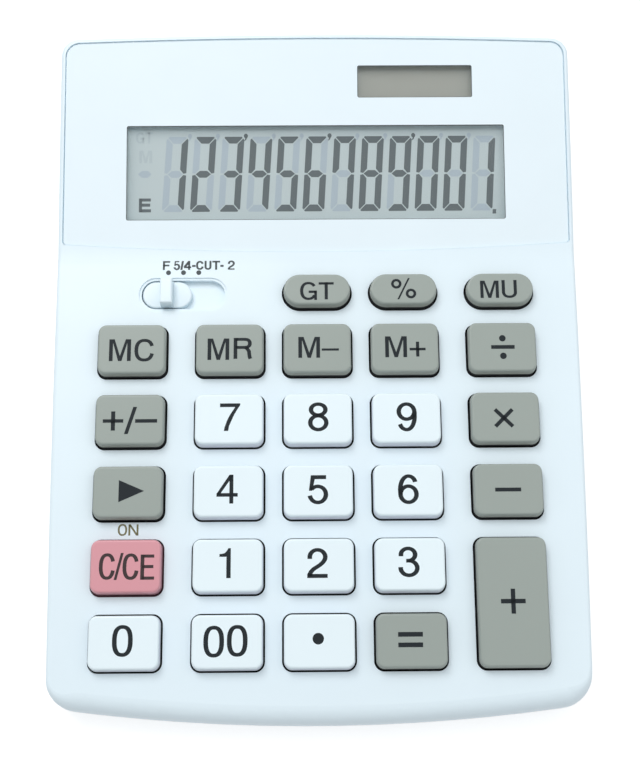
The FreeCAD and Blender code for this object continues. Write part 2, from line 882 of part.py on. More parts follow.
def case_boss(number, x, y, top_of_post):
    """A boss that hangs from the top of the case down to the lower case's post."""
    body = new_body(f"case_boss_{number}")
    sketch = new_sketch(body, height=top_of_post)
    circle(sketch, size("boss_width") + 1.2, x, y)
    pad(body, sketch, tall)
    bore = new_sketch(body, height=top_of_post)
    circle(bore, size("screw_shank"), x, y)
    body.Tip = pocket(body, bore, size("screw_grip") + 0.5, up=True)
    return body


# only the part of each case boss that lies below the outer top of the case is kept
case_boss_set = [
    common(f"case_boss_trimmed_{number}", case_boss(number, x, y, top), side_block(
        f"case_boss_profile_{number}",
        closed_profile(stepped_top(size("case_wall") / 2, shelf_drop + size("shelf_thickness") / 2),
                       parting_point(-side_reach, -below), parting_point(side_reach, -below))))
    for number, (x, y, top) in enumerate(case_posts, start=1)
]

# rebate round the inside of the lower edge, for the lower case's lip
rebate_height = size("lip_height") + size("fit_gap")
rebate_inset = size("case_wall") - size("lip_wall") - size("fit_gap")


def parting_band(label, low, high):
    """A block across the case between two heights above the line where the halves meet."""
    return side_block(label, lines_through([
        parting_point(side_reach, high), parting_point(-side_reach, high),
        parting_point(-side_reach, low), parting_point(side_reach, low), parting_point(side_reach, high)]))


rebate_outline = outline_block("rebate_outline", rebate_inset)
rebate = common("rebate", rebate_outline, parting_band("rebate_band", -below, rebate_height))
shell = cut("upper_shell", upper_rounded, upper_cavity)
tools = fuse("upper_tools", [recess, rebate] + opening_tools)
bare_case = cut("upper_opened", shell, tools)
upper_case = fuse("upper_case", [bare_case, board_posts, clamp_posts, switch_rails] + case_boss_set)
doc.recompute()


# lower case
floor_top = size("foot_height") + size("floor_wall")


def level_path(low, high):
    """A side view with a flat bottom and a flat top."""
    return lines_through([Vector(side_reach, float(high)), Vector(-side_reach, float(high)),
                          Vector(-side_reach, float(low)), Vector(side_reach, float(low)),
                          Vector(side_reach, float(high))])


lower_profile = side_block("lower_profile", lines_through([
    parting_point(side_reach), parting_point(-side_reach),
    Vector(-side_reach, float(size("foot_height"))), Vector(side_reach, float(size("foot_height"))),
    parting_point(side_reach)]))
lower_block = common("lower_block", outer_outline, lower_profile)
doc.recompute()
lower_bevelled = doc.addObject("Part::Chamfer", "lower_bevelled")
lower_bevelled.Base = lower_block
lower_bevelled.Edges = [
    (number, float(size("foot_edge")), float(size("foot_edge")))
    for number, edge in enumerate(lower_block.Shape.Edges, start=1)
    if at_height(size("foot_height"))(edge)
]
lip_outline = outline_block("lip_outline", size("case_wall") - size("lip_wall"))
lip = common("lip", lip_outline, parting_band("lip_band", -size("lip_height"), size("lip_height")))
lower_cavity_profile = side_block("lower_cavity_profile", level_path(floor_top, tall))
lower_cavity = common("lower_cavity", inner_outline, lower_cavity_profile)

# battery bay at the back of the lower case: a well for the cell and a slide for the cover
cover_end = case_length / 2 - float(size("cover_inset"))
cover_middle = cover_end - float(size("cover_length")) / 2
cell_bottom = size("foot_height") + size("cover_thickness") + size("fit_gap")
cell_top = cell_bottom + size("cell_height")
roof_bottom = cell_top + size("contact_thickness") * 2
bay_top = cell_bottom + size("bay_wall")
well_width = size("cell_width") + size("cell_clearance") * 2
tongue_low = size("foot_height") + size("cover_thickness") / 3

bay = new_body("battery_bay")
bay_block = new_sketch(bay, height=size("foot_height") + size("floor_wall") / 2)
bay_reach = size("cover_tongue") + size("bay_wall") + size("fit_gap")
bay_length = size("cover_length") + bay_reach - size("case_wall") / 2
rectangle(bay_block, size("cover_width") + bay_reach * 2, bay_length, size("bay_x"),
          cover_middle - float(bay_reach + size("case_wall") / 2) / 2)
pad(bay, bay_block, bay_top - size("foot_height") - size("floor_wall") / 2)
tower = new_sketch(bay, height=bay_top - 0.1)
circle(tower, well_width + size("bay_wall") * 2, size("bay_x"), cover_middle)
bay.Tip = pad(bay, tower, roof_bottom + size("bay_wall") - bay_top + 0.1)

bay_cut = new_body("battery_bay_cut")
slide = new_sketch(bay_cut, height=0.0)
rectangle(slide, size("cover_width") + size("fit_gap") * 2, size("cover_length") + size("fit_gap") + 10,
          size("bay_x"), cover_middle + (10 - float(size("fit_gap"))) / 2)
pad(bay_cut, slide, cell_bottom)
groove = new_sketch(bay_cut, height=tongue_low - size("fit_gap"))
rectangle(groove, size("cover_width") + size("cover_tongue") * 2 + size("fit_gap") * 2,
          size("cover_length") + size("cover_tongue") + size("fit_gap") + 10, size("bay_x"),
          cover_middle + (10 - float(size("cover_tongue") + size("fit_gap"))) / 2)
pad(bay_cut, groove, cell_bottom - tongue_low + size("fit_gap"))
well = new_sketch(bay_cut)
circle(well, well_width, size("bay_x"), cover_middle)
pad(bay_cut, well, roof_bottom)
side_slot = new_sketch(bay_cut, height=cell_bottom)
slot_x = size("bay_x") + size("cell_width") / 2 + size("bay_wall") / 2
rectangle(side_slot, size("bay_wall"), size("contact_width") + size("fit_gap") * 2, slot_x, cover_middle)
pad(bay_cut, side_slot, tall)
front_slot = new_sketch(bay_cut, height=cell_top)
rectangle(front_slot, size("contact_width") + size("fit_gap") * 2, well_width, size("bay_x"),
          cover_middle - float(well_width) / 2)
bay_cut.Tip = pad(bay_cut, front_slot, roof_bottom - cell_top)

# screw posts and the recesses for the feet
lower_posts = new_body("lower_posts")
for x, y, top in case_posts:
    post = new_sketch(lower_posts, height=size("foot_height") + 0.2)
    circle(post, size("post_width"), x, y)
    lower_posts.Tip = pad(lower_posts, post, top - size("foot_height") - 0.2)

lower_holes = new_body("lower_holes")
for x, y, top in case_posts:
    shaft = new_sketch(lower_holes)
    circle(shaft, size("screw_shank") + size("bore_gap"), x, y)
    pad(lower_holes, shaft, top + overrun)
    seat = new_sketch(lower_holes)
    circle(seat, size("screw_head") + size("bore_gap"), x, y)
    lower_holes.Tip = pad(lower_holes, seat, top - size("post_seat"))

foot_places = [
    ((half_width - size("foot_inset_x")) * side, (case_length / 2 - float(size("foot_inset_y"))) * end)
    for side in (-1, 1) for end in (-1, 1)
]
foot_recess = new_body("foot_recess")
for x, y in foot_places:
    recess_sketch = new_sketch(foot_recess)
    circle(recess_sketch, size("foot_width"), x, y)
    foot_recess.Tip = pad(foot_recess, recess_sketch, size("foot_height") + size("foot_sink"))

lower_shell = cut("lower_shell", fuse("lower_walls", [lower_bevelled, lip]), lower_cavity)
lower_solid = fuse("lower_solid", [lower_shell, bay, lower_posts])
lower_case = cut("lower_case", lower_solid, fuse("lower_tools", [bay_cut, lower_holes, foot_recess]))

feet = []
for number, (x, y) in enumerate(foot_places, start=1):
    foot = new_body(f"foot_{number}")
    disc = new_sketch(foot)
    circle(disc, size("foot_width"), x, y)
    foot.Tip = pad(foot, disc, size("foot_height") + size("foot_sink"))
    feet.append(foot)
rubber_feet = group("rubber_feet", feet)
doc.recompute()


# battery cover: a plate with tongues on three edges and a raised grip
battery_cover = new_body("battery_cover")
plate = new_sketch(battery_cover, height=size("foot_height"))
rectangle(plate, size("cover_width"), size("cover_length"), size("bay_x"), cover_middle)
pad(battery_cover, plate, size("cover_thickness"))
tongues = new_sketch(battery_cover, height=tongue_low)
rectangle(tongues, size("cover_width") + size("cover_tongue") * 2,
          size("cover_length") + size("cover_tongue"),
          size("bay_x"), cover_middle - float(size("cover_tongue")) / 2)
pad(battery_cover, tongues, size("cover_thickness") * (2 / 3))
for step in range(4):
    rib = new_sketch(battery_cover, height=size("foot_height"))
    rib_y = cover_middle + float(size("cover_rib_pitch")) * (step + 1)
    rectangle(rib, size("cover_width") * 0.6, size("cover_rib_width"), size("bay_x"), rib_y)
    battery_cover.Tip = pocket(battery_cover, rib, size("cover_thickness") / 4, up=True)

button_cell = new_body("button_cell")
can = new_sketch(button_cell, height=cell_bottom)
circle(can, size("cell_width"), size("bay_x"), cover_middle)
pad(button_cell, can, size("cell_height") * 0.85)
cap = new_sketch(button_cell, height=cell_bottom + size("cell_height") * 0.85)
circle(cap, size("cell_width") * 0.84, size("bay_x"), cover_middle)
button_cell.Tip = pad(button_cell, cap, size("cell_height") * 0.15)

contact_top = roof_bottom + size("bay_wall") + size("contact_tail")
strip_low = cell_bottom + size("contact_foot")
battery_contact_plus = new_body("battery_contact_plus")
strip = new_sketch(battery_contact_plus, height=strip_low)
rectangle(strip, size("contact_thickness"), size("contact_width"),
          size("bay_x") + size("cell_width") / 2 + size("contact_thickness") / 2, cover_middle)
battery_contact_plus.Tip = pad(battery_contact_plus, strip, contact_top - strip_low)

battery_contact_minus = new_body("battery_contact_minus")
leaf = new_sketch(battery_contact_minus, height=cell_top)
leaf_front = cover_middle - float(well_width / 2 + size("bay_wall") + size("contact_bend"))
leaf_back = cover_middle + float(size("contact_reach"))
rectangle(leaf, size("contact_width"), leaf_back - leaf_front, size("bay_x"), (leaf_back + leaf_front) / 2)
pad(battery_contact_minus, leaf, size("contact_thickness"))
tail = new_sketch(battery_contact_minus, height=cell_top)
rectangle(tail, size("contact_width"), size("contact_thickness"), size("bay_x"),
          leaf_front + float(size("contact_thickness")) / 2)
battery_contact_minus.Tip = pad(battery_contact_minus, tail, contact_top - cell_top)


# display window, its adhesive frame, the liquid crystal panel and its clamp
display_window = new_body("display_window", display_frame)
window_inset = size("fit_gap") * 1.5
pane = pad(display_window, window_outline(display_window, -(size("window_sink") + size("window_thickness")),
                                          window_inset), size("window_thickness"))
display_window.Tip = round_window(display_window, pane, window_inset)

window_adhesive = new_body("window_adhesive", display_frame)
film_inset = window_inset + size("adhesive_inset")
film_outline = window_outline(window_adhesive, -shelf_drop, film_inset)
film = pad(window_adhesive, film_outline, size("adhesive_thickness"))
round_window(window_adhesive, film, film_inset)
for opening in (view_opening, solar_opening):
    hole = opening(window_adhesive, -shelf_drop, size("shelf_clearance"))
    window_adhesive.Tip = pocket(window_adhesive, hole, size("adhesive_thickness"), up=True)

lcd_panel = new_body("lcd_panel", display_frame)
front_glass = new_sketch(lcd_panel, height=-(shelf_bottom + size("glass_thickness")))
rectangle(front_glass, glass_width, size("glass_depth") - size("contact_ledge"), 0.0,
          size("view_centre") + size("contact_ledge") / 2)
pad(lcd_panel, front_glass, size("glass_thickness"))
back_glass = new_sketch(lcd_panel, height=glass_bottom)
rectangle(back_glass, glass_width, size("glass_depth"), 0.0, size("view_centre"))
lcd_panel.Tip = pad(lcd_panel, back_glass, size("glass_thickness"))

lcd_clamp = new_body("lcd_clamp", display_frame)
frame_sketch = new_sketch(lcd_clamp, height=glass_bottom - size("clamp_thickness"))
rectangle(frame_sketch, clamp_half * 2, size("glass_depth"), 0.0, size("view_centre"))
rectangle(frame_sketch, glass_width - size("clamp_margin") * 4,
          size("glass_depth") - size("clamp_margin") * 4, 0.0, size("view_centre"))
pad(lcd_clamp, frame_sketch, size("clamp_thickness"))
for x, y in clamp_bosses:
    hole = new_sketch(lcd_clamp, height=glass_bottom)
    circle(hole, size("screw_shank") + size("bore_gap"), x, y)
    lcd_clamp.Tip = pocket(lcd_clamp, hole, size("clamp_thickness"))

solar_cell = new_body("solar_cell", display_frame)
cell_sketch = new_sketch(solar_cell, height=-(shelf_bottom + size("solar_thickness")))
rectangle(cell_sketch, size("solar_width") + size("solar_border") * 2,
          size("solar_depth") + size("solar_border") * 2,
          size("solar_centre_x"), size("solar_centre_y"))
solar_cell.Tip = pad(solar_cell, cell_sketch, size("solar_thickness"))


# circuit board with its parts
board_front_y = size("front_margin") - size("case_wall") + size("board_front")
board_back_y = hinge_y + float(size("board_back"))
board_half = half_front - size("case_wall") - size("board_gap")
board_middle_y = (float(board_front_y) + board_back_y) / 2
main_board = new_body("main_board", keyboard_frame)
board_sketch = new_sketch(main_board, height=board_bottom)
rectangle(board_sketch, board_half * 2, board_back_y - float(board_front_y), 0.0, board_middle_y)
pad(main_board, board_sketch, size("board_thickness"))
for side in (-1, 1):
    notch = new_sketch(main_board, height=board_top)
    notch_size = size("post_width") + (size("post_gap") * 2 + size("notch_reach")) * 2
    rectangle(notch, notch_size, notch_size, (front_post_x + size("notch_reach")) * side,
              size("front_post_y") - size("notch_reach"))
    main_board.Tip = pocket(main_board, notch, size("board_thickness"))
for x, y in board_bosses:
    hole = new_sketch(main_board, height=board_top)
    circle(hole, size("screw_shank") + size("bore_gap"), x, y)
    main_board.Tip = pocket(main_board, hole, size("board_thickness"))


def screw(label, frame, x, y, seat, grip):
    """A pan head screw put in from below: head under the seat, shank up through it by grip."""
    body = new_body(label, frame)
    head = new_sketch(body, height=seat - size("screw_head_height"))
    circle(head, size("screw_head"), x, y)
    pad(body, head, size("screw_head_height"))
    shank = new_sketch(body, height=seat)
    circle(shank, size("screw_shank"), x, y)
    body.Tip = pad(body, shank, grip)
    return body


board_grip = size("board_thickness") + size("screw_grip")
board_screws = group("board_screws", [
    screw(f"board_screw_{number}", keyboard_frame, x, y, board_bottom, board_grip)
    for number, (x, y) in enumerate(board_bosses, start=1)])
clamp_screws = group("clamp_screws", [
    screw(f"clamp_screw_{number}", display_frame, x, y, glass_bottom - size("clamp_thickness"),
          size("clamp_thickness") + size("glass_thickness") * 2)
    for number, (x, y) in enumerate(clamp_bosses, start=1)])
case_grip = size("post_seat") + size("screw_grip")
case_screws = group("case_screws", [
    screw(f"case_screw_{number}", world_frame, x, y, top - size("post_seat"), case_grip)
    for number, (x, y, top) in enumerate(case_posts, start=1)])
doc.recompute()


# flat film connector from the glass ledge down to the back edge of the board
film_thickness = size("film_thickness")
ledge_y = size("view_centre") - size("glass_depth") / 2
ledge_z = -(shelf_bottom + size("glass_thickness"))


def offset_path(points, thickness):
    """Outline of a bent sheet: the points and the same points moved square to the path."""
    far_side = []
    for i, point in enumerate(points):
        before = points[max(i - 1, 0)]
        after = points[min(i + 1, len(points) - 1)]
        along = after - before
        along.normalize()
        far_side.append(point + Vector(-along.y, along.x) * float(thickness))
    return points + far_side[::-1] + points[:1]


display_ribbon = new_body("display_ribbon")
ribbon_path = [
    flat(display_point(0, ledge_y + size("contact_ledge") * 0.8, ledge_z)),
    flat(display_point(0, ledge_y - 0.6, ledge_z)),
    flat(display_point(0, ledge_y - 1.8, ledge_z - 0.7)),
    flat(keyboard_point(0, board_back_y - 0.6, board_top + 0.7)),
    flat(keyboard_point(0, board_back_y - 1.8, board_top)),
    flat(keyboard_point(0, board_back_y - 5.2, board_top)),
]
ribbon_sketch = new_sketch(display_ribbon, "YZ_Plane")
for piece in lines_through(offset_path(ribbon_path[::-1], film_thickness)):
    number = ribbon_sketch.addGeometry(piece)
    ribbon_sketch.addConstraint(Sketcher.Constraint("Block", number))
display_ribbon.Tip = pad(display_ribbon, ribbon_sketch, size("ribbon_width"), both=True)


def wire_run(label, points, width):
    """A thin wire of six flat sides that follows straight runs with mitred corners."""
    along = points[1] - points[0]
    across = along.cross(Vector(0.3, 1, 0.2))
    across.normalize()
    ring = []
    for step in range(7):
        turn = Rotation(along, 60.0 * (step % 6))
        ring.append(points[0] + turn.multVec(across) * (float(width) / 2))
    lead = doc.addObject("Part::Feature", label)
    path = Part.makePolygon(points)
    lead.Shape = path.makePipeShell([Part.makePolygon(ring)], True, False, 1)
    lead.Placement = Placement()
    return lead


# leads from the solar cell and from the battery contacts to the back edge of the board
solar_back = -(shelf_bottom + size("solar_thickness"))
solar_leads = group("solar_leads", [
    wire_run(f"solar_lead_{number}", [
        display_point(size("solar_centre_x") + offset, size("solar_centre_y"), solar_back),
        display_point(size("solar_centre_x") + offset, size("solar_centre_y"), solar_back - 4.5),
        display_point(size("solar_centre_x") + offset + 6, size("solar_centre_y") - 14, solar_back - 7.0),
        display_point(size("ribbon_width") / 2 + lane, 8.0, solar_back - 7.5),
        keyboard_point(size("ribbon_width") / 2 + lane, board_back_y - 3.0, board_bottom - 2.5),
        keyboard_point(size("ribbon_width") / 2 + lane, board_back_y - 3.0, board_bottom),
    ], size("lead_width"))
    for number, (offset, lane) in enumerate([(-6.0, 3.0), (9.0, 6.0)], start=1)])

lead_low = contact_top - 0.6
battery_leads = group("battery_leads", [
    wire_run("battery_lead_plus", [
        Vector(float(size("bay_x") + size("cell_width") / 2) + 0.8, cover_middle, float(lead_low)),
        Vector(float(size("bay_x") + size("cell_width") / 2) + 7.0, cover_middle - 3, float(lead_low)),
        keyboard_point(float(size("bay_x")) + 6.0, board_back_y + 12, board_bottom - 3),
        keyboard_point(float(size("bay_x")) + 2.0, board_back_y - 4, board_bottom - 3),
        keyboard_point(float(size("bay_x")) + 2.0, board_back_y - 4, board_bottom),
    ], size("lead_width")),
    wire_run("battery_lead_minus", [
        Vector(float(size("bay_x")), leaf_front, float(lead_low)),
        Vector(float(size("bay_x")), leaf_front - 6, float(lead_low)),
        keyboard_point(float(size("bay_x")) - 4.0, board_back_y + 10, board_bottom - 3),
        keyboard_point(float(size("bay_x")) - 6.0, board_back_y - 4, board_bottom - 3),
        keyboard_point(float(size("bay_x")) - 6.0, board_back_y - 4, board_bottom),
    ], size("lead_width")),
])

# chip under a drop of resin, and the small parts under the board
controller_chip = new_body("controller_chip", keyboard_frame)
resin = new_sketch(controller_chip, height=board_bottom)
circle(resin, size("resin_width"), 0.0, row_y[3])
drop = pad(controller_chip, resin, size("resin_height"), down=True)
controller_chip.Tip = bevel_edges(controller_chip, drop, at_height(board_bottom - size("resin_height")),
                                  size("resin_height") * 0.6)

small_parts = []
for number, (x, y, width, depth, height) in enumerate([
    (-20.0, 92.0, 3.2, 1.6, 0.6), (-14.0, 92.0, 3.2, 1.6, 0.6), (16.0, 92.0, 2.0, 1.25, 0.8),
    (22.0, 92.0, 2.0, 1.25, 0.8), (44.0, 104.0, 4.6, 2.6, 2.0),
], start=1):
    chip = new_body(f"small_part_{number}", keyboard_frame)
    footprint = new_sketch(chip, height=board_bottom)
    rectangle(footprint, width, depth, x, y)
    chip.Tip = pad(chip, footprint, height, down=True)
    small_parts.append(chip)
board_components = group("board_components", small_parts)


# rubber mat: one sheet with a hollow dome and a contact pill under every key
dome_places = key_places + [("key_plus", outer_column_x, tall_y)]
dome_places += [(name, column_x[column], oval_row_y) for column, name in OVAL_KEYS.items()]
mat_top = board_top + size("mat_thickness")
mat_front_y = board_front_y + size("mat_margin")
mat_back_y = oval_row_y + size("dome_base") / 2 + size("mat_margin") / 2
dome_slope = (size("dome_base") - size("dome_top")) / 2

keypad_mat = new_body("keypad_mat", keyboard_frame)
mat_sheet = new_sketch(keypad_mat, height=board_top)
rectangle(mat_sheet, outer_column_x * 2 + opening_width - size("mat_margin"), mat_back_y - mat_front_y, 0.0,
          (mat_back_y + mat_front_y) / 2)
squares(mat_sheet, size("boss_width") + size("post_gap") * 2, board_bosses)
rectangle(mat_sheet, size("knob_depth") + size("switch_travel") + size("mat_margin") * 2,
          size("stem_depth") + size("mat_margin") * 2, size("switch_x"), oval_row_y)
pad(keypad_mat, mat_sheet, size("mat_thickness"))
dome_sketch = new_sketch(keypad_mat, height=mat_top)
low_hollow = new_sketch(keypad_mat, height=board_top)
high_hollow = new_sketch(keypad_mat, height=board_top)
pill_sketch = new_sketch(keypad_mat, height=board_top + size("key_travel") + size("fit_gap"))
inner_base = size("dome_base") - size("dome_wall") * 2
dome_centres = [(x, y) for _, x, y in dome_places]
squares(dome_sketch, size("dome_base"), dome_centres)
squares(low_hollow, inner_base, dome_centres)
squares(high_hollow, size("dome_top"), dome_centres)
squares(pill_sketch, size("pill_width"), dome_centres)
domes = pad(keypad_mat, dome_sketch, size("dome_height"))
bevel_edges(keypad_mat, domes, at_height(mat_top + size("dome_height")), dome_slope)
pocket(keypad_mat, low_hollow, size("mat_thickness") + size("dome_height") - dome_slope, up=True)
pocket(keypad_mat, high_hollow, size("mat_thickness") + size("dome_height") - size("dome_roof"), up=True)
pill_height = dome_top_z - board_top - size("key_travel") - size("dome_roof") / 2
keypad_mat.Tip = pad(keypad_mat, pill_sketch, pill_height)

# rounding switch: knob with a grip rib on a long shutter, and a stem that carries the brush
switch_frame = keyboard_frame.multiply(
    Placement(Vector(float(size("switch_x") - size("switch_travel") / 2), float(oval_row_y), 0), Rotation()))
rounding_switch = new_body("rounding_switch", switch_frame)
shutter = new_sketch(rounding_switch, height=-(shutter_drop + size("shutter_thickness")))
rectangle(shutter, shutter_length, shutter_depth)
pad(rounding_switch, shutter, size("shutter_thickness"))
knob = new_sketch(rounding_switch, height=-shutter_drop)
slot(knob, size("knob_length"), size("knob_depth"))
pad(rounding_switch, knob, shutter_drop - size("knob_sink"))
grip = new_sketch(rounding_switch, height=-size("knob_sink"))
rectangle(grip, size("grip_width"), size("knob_depth"))
grip_pad = pad(rounding_switch, grip, size("knob_sink") + size("grip_rise"), taper=-4.0)
round_edges(rounding_switch, grip_pad, at_height(size("grip_rise")), size("grip_width") * 0.2)
stem = new_sketch(rounding_switch, height=board_top + size("brush_height"))
rectangle(stem, size("knob_depth"), size("stem_depth"))
rounding_switch.Tip = pad(
    rounding_switch, stem,
    -(shutter_drop + size("shutter_thickness")) - board_top - size("brush_height"))

switch_brush = new_body("switch_brush", switch_frame)
brush_side = new_sketch(switch_brush, "XZ_Plane")
brush_top = float(board_top + size("brush_height"))
brush_low = float(board_top) + 0.02
half_brush = float(size("knob_depth")) / 2
brush_path = [
    Vector(-half_brush, brush_top), Vector(-half_brush * 0.5, brush_top), Vector(0, brush_low + 0.16),
    Vector(half_brush * 0.5, brush_top), Vector(half_brush, brush_top)]
for piece in lines_through(offset_path(brush_path, -0.14)):
    number = brush_side.addGeometry(piece)
    brush_side.addConstraint(Sketcher.Constraint("Block", number))
switch_brush.Tip = pad(switch_brush, brush_side, size("stem_depth") * 0.8, both=True)
doc.recompute()


# write every sub-part to its own file
NODES = [
    "upper_case", "lower_case", "display_window", "window_adhesive", "lcd_panel", "lcd_clamp", "clamp_screws",
    "display_ribbon", "solar_cell", "solar_leads", "main_board", "controller_chip", "board_components",
    "keypad_mat", "rounding_switch", "switch_brush", "button_cell", "battery_contact_plus",
    "battery_contact_minus", "battery_leads", "battery_cover", "board_screws", "case_screws", "rubber_feet",
] + [name for name, _, _ in dome_places]

failed = [item.Label for item in doc.Objects if "Invalid" in item.State or "Error" in item.State]
if failed:
    raise RuntimeError(f"objects that did not build: {failed}")
nodes = {name: next(item for item in doc.Objects if item.Label == name) for name in NODES}
for name, item in nodes.items():
    if item.Shape.isNull() or not item.Shape.isValid():
        raise RuntimeError(f"shape of {name} is not sound")

os.makedirs("parts", exist_ok=True)
for name, item in nodes.items():
    item.Shape.exportStep(os.path.join("parts", f"{name}.step"))
    box = item.Shape.optimalBoundingBox()
    print(f"{name}: {len(item.Shape.Solids)} solids, {item.Shape.Volume:.1f} mm3, "
          f"x {box.XMin:.1f} to {box.XMax:.1f}, y {box.YMin:.1f} to {box.YMax:.1f}, "
          f"z {box.ZMin:.1f} to {box.ZMax:.1f}")
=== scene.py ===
import math

import bmesh
import bpy
from mathutils import Matrix, Vector


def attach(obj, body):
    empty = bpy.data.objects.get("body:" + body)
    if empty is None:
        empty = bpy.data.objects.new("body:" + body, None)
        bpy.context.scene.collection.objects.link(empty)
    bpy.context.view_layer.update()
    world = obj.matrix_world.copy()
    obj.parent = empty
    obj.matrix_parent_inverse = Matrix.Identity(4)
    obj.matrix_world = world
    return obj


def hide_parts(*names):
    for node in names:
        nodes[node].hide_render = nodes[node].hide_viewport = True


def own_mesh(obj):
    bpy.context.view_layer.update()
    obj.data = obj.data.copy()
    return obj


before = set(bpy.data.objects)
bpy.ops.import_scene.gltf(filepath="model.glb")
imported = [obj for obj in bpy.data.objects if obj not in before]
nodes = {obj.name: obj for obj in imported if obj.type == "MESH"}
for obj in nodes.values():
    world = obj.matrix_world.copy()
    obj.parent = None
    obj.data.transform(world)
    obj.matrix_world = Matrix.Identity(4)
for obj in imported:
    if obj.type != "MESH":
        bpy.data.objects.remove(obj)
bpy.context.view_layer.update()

# case: lengths in millimetres, y from the front edge along the sloping fields, z up from their surface
MM = 0.001
KEYBOARD_SLOPE = 4.5
DISPLAY_SLOPE = 11.5
FRONT_HEIGHT = 12.0
COLUMN_PITCH = 21.1
OUTER_COLUMN = 44.65
ROW_PITCH = 17.24
FIRST_ROW = 18.4
OVAL_ROW = FIRST_ROW + ROW_PITCH * 4 + 14.75
HINGE = OVAL_ROW + 10.3
DISPLAY_LENGTH = 56.6
CASE_LENGTH = (HINGE * math.cos(math.radians(KEYBOARD_SLOPE))
               + DISPLAY_LENGTH * math.cos(math.radians(DISPLAY_SLOPE)))

# height of printed ink over the face that carries it
INK_LIFT = 0.012


def tilted(origin, degrees):
    """Frame in metres for points given in millimetres on a field that slopes up to the back."""
    return Matrix.Translation(origin) @ Matrix.Rotation(math.radians(degrees), 4, "X") @ Matrix.Scale(MM, 4)


KEYBOARD = tilted(Vector((0, -CASE_LENGTH / 2, FRONT_HEIGHT)) * MM, KEYBOARD_SLOPE)
DISPLAY = tilted(KEYBOARD @ Vector((0, HINGE, 0)), DISPLAY_SLOPE)


# mesh helpers
def add_object(name, verts, faces, place, material, body, slot, smooth=False):
    """A mesh object from points in millimetres, put in its frame and tied to its body."""
    mesh = bpy.data.meshes.new(name)
    mesh.from_pydata([place @ Vector(v) for v in verts], [], faces)
    mesh.validate()
    mesh.update()
    obj = bpy.data.objects.new(name, mesh)
    bpy.context.scene.collection.objects.link(obj)
    for item in material if isinstance(material, list) else [material]:
        mesh.materials.append(item)
    for face in mesh.polygons:
        face.use_smooth = smooth
    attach(obj, body)
    return obj


def rounded_ring(half_x, half_y, radius, z, shift=0.0, steps=8):
    """Points round a rectangle with round corners, anticlockwise seen from above."""
    points = []
    for turn, (side_x, side_y) in enumerate(((1, 1), (-1, 1), (-1, -1), (1, -1))):
        for step in range(steps + 1):
            angle = math.radians(90 * turn + 90 * step / steps)
            points.append((side_x * (half_x - radius) + radius * math.cos(angle),
                           side_y * (half_y - radius) + radius * math.sin(angle) + shift, z))
    return points


def stack_rings(rings, verts, faces):
    """Join rings of equal length from the first to the last and close both ends."""
    start = len(verts)
    size = len(rings[0])
    for points in rings:
        verts.extend(points)
    for level in range(len(rings) - 1):
        low = start + level * size
        for i in range(size):
            j = (i + 1) % size
            faces.append((low + i, low + j, low + size + j, low + size + i))
    faces.append(tuple(range(start + size - 1, start - 1, -1)))
    top = start + (len(rings) - 1) * size
    faces.append(tuple(range(top, top + size)))


# materials
BROAD_SCALE = 60.0
BUMP_DEPTH = 0.00005
BRUSH_SCALE = 4000.0


def new_material(name):
    """A material with an empty node tree, its tree and its output node."""
    material = bpy.data.materials.new(name)
    material.use_nodes = True
    tree = material.node_tree
    tree.nodes.clear()
    output = tree.nodes.new("ShaderNodeOutputMaterial")
    return material, tree, output


def srgb(red, green, blue):
    """A colour written as it shows on a screen, 0 to 255, as linear values."""
    linear = []
    for channel in (red, green, blue):
        value = channel / 255
        linear.append(value / 12.92 if value <= 0.04045 else ((value + 0.055) / 1.055) ** 2.4)
    return (*linear, 1.0)


def plastic(name, colour, roughness=0.38, grain=0.02, grain_scale=9000.0, variation=0.02, specular=0.5):
    """Moulded plastic: fine grain in the surface and a little unevenness of tone."""
    material, tree, output = new_material(name)
    links = tree.links
    shader = tree.nodes.new("ShaderNodeBsdfPrincipled")
    shader.inputs["Roughness"].default_value = roughness
    shader.inputs["Specular IOR Level"].default_value = specular
    place = tree.nodes.new("ShaderNodeTexCoord")
    broad = tree.nodes.new("ShaderNodeTexNoise")
    broad.inputs["Scale"].default_value = BROAD_SCALE
    broad.inputs["Detail"].default_value = 3.0
    tone = tree.nodes.new("ShaderNodeMixRGB")
    tone.inputs["Color1"].default_value = colour
    darker = [channel * (1 - variation * 2) for channel in colour[:3]]
    tone.inputs["Color2"].default_value = (*darker, 1.0)
    fine = tree.nodes.new("ShaderNodeTexNoise")
    fine.inputs["Scale"].default_value = grain_scale
    fine.inputs["Detail"].default_value = 2.0
    bump = tree.nodes.new("ShaderNodeBump")
    bump.inputs["Strength"].default_value = grain
    bump.inputs["Distance"].default_value = BUMP_DEPTH
    links.new(place.outputs["Object"], broad.inputs["Vector"])
    links.new(place.outputs["Object"], fine.inputs["Vector"])
    links.new(broad.outputs["Fac"], tone.inputs["Fac"])
    links.new(tone.outputs["Color"], shader.inputs["Base Color"])
    links.new(fine.outputs["Fac"], bump.inputs["Height"])
    links.new(bump.outputs["Normal"], shader.inputs["Normal"])
    links.new(shader.outputs["BSDF"], output.inputs["Surface"])
    return material


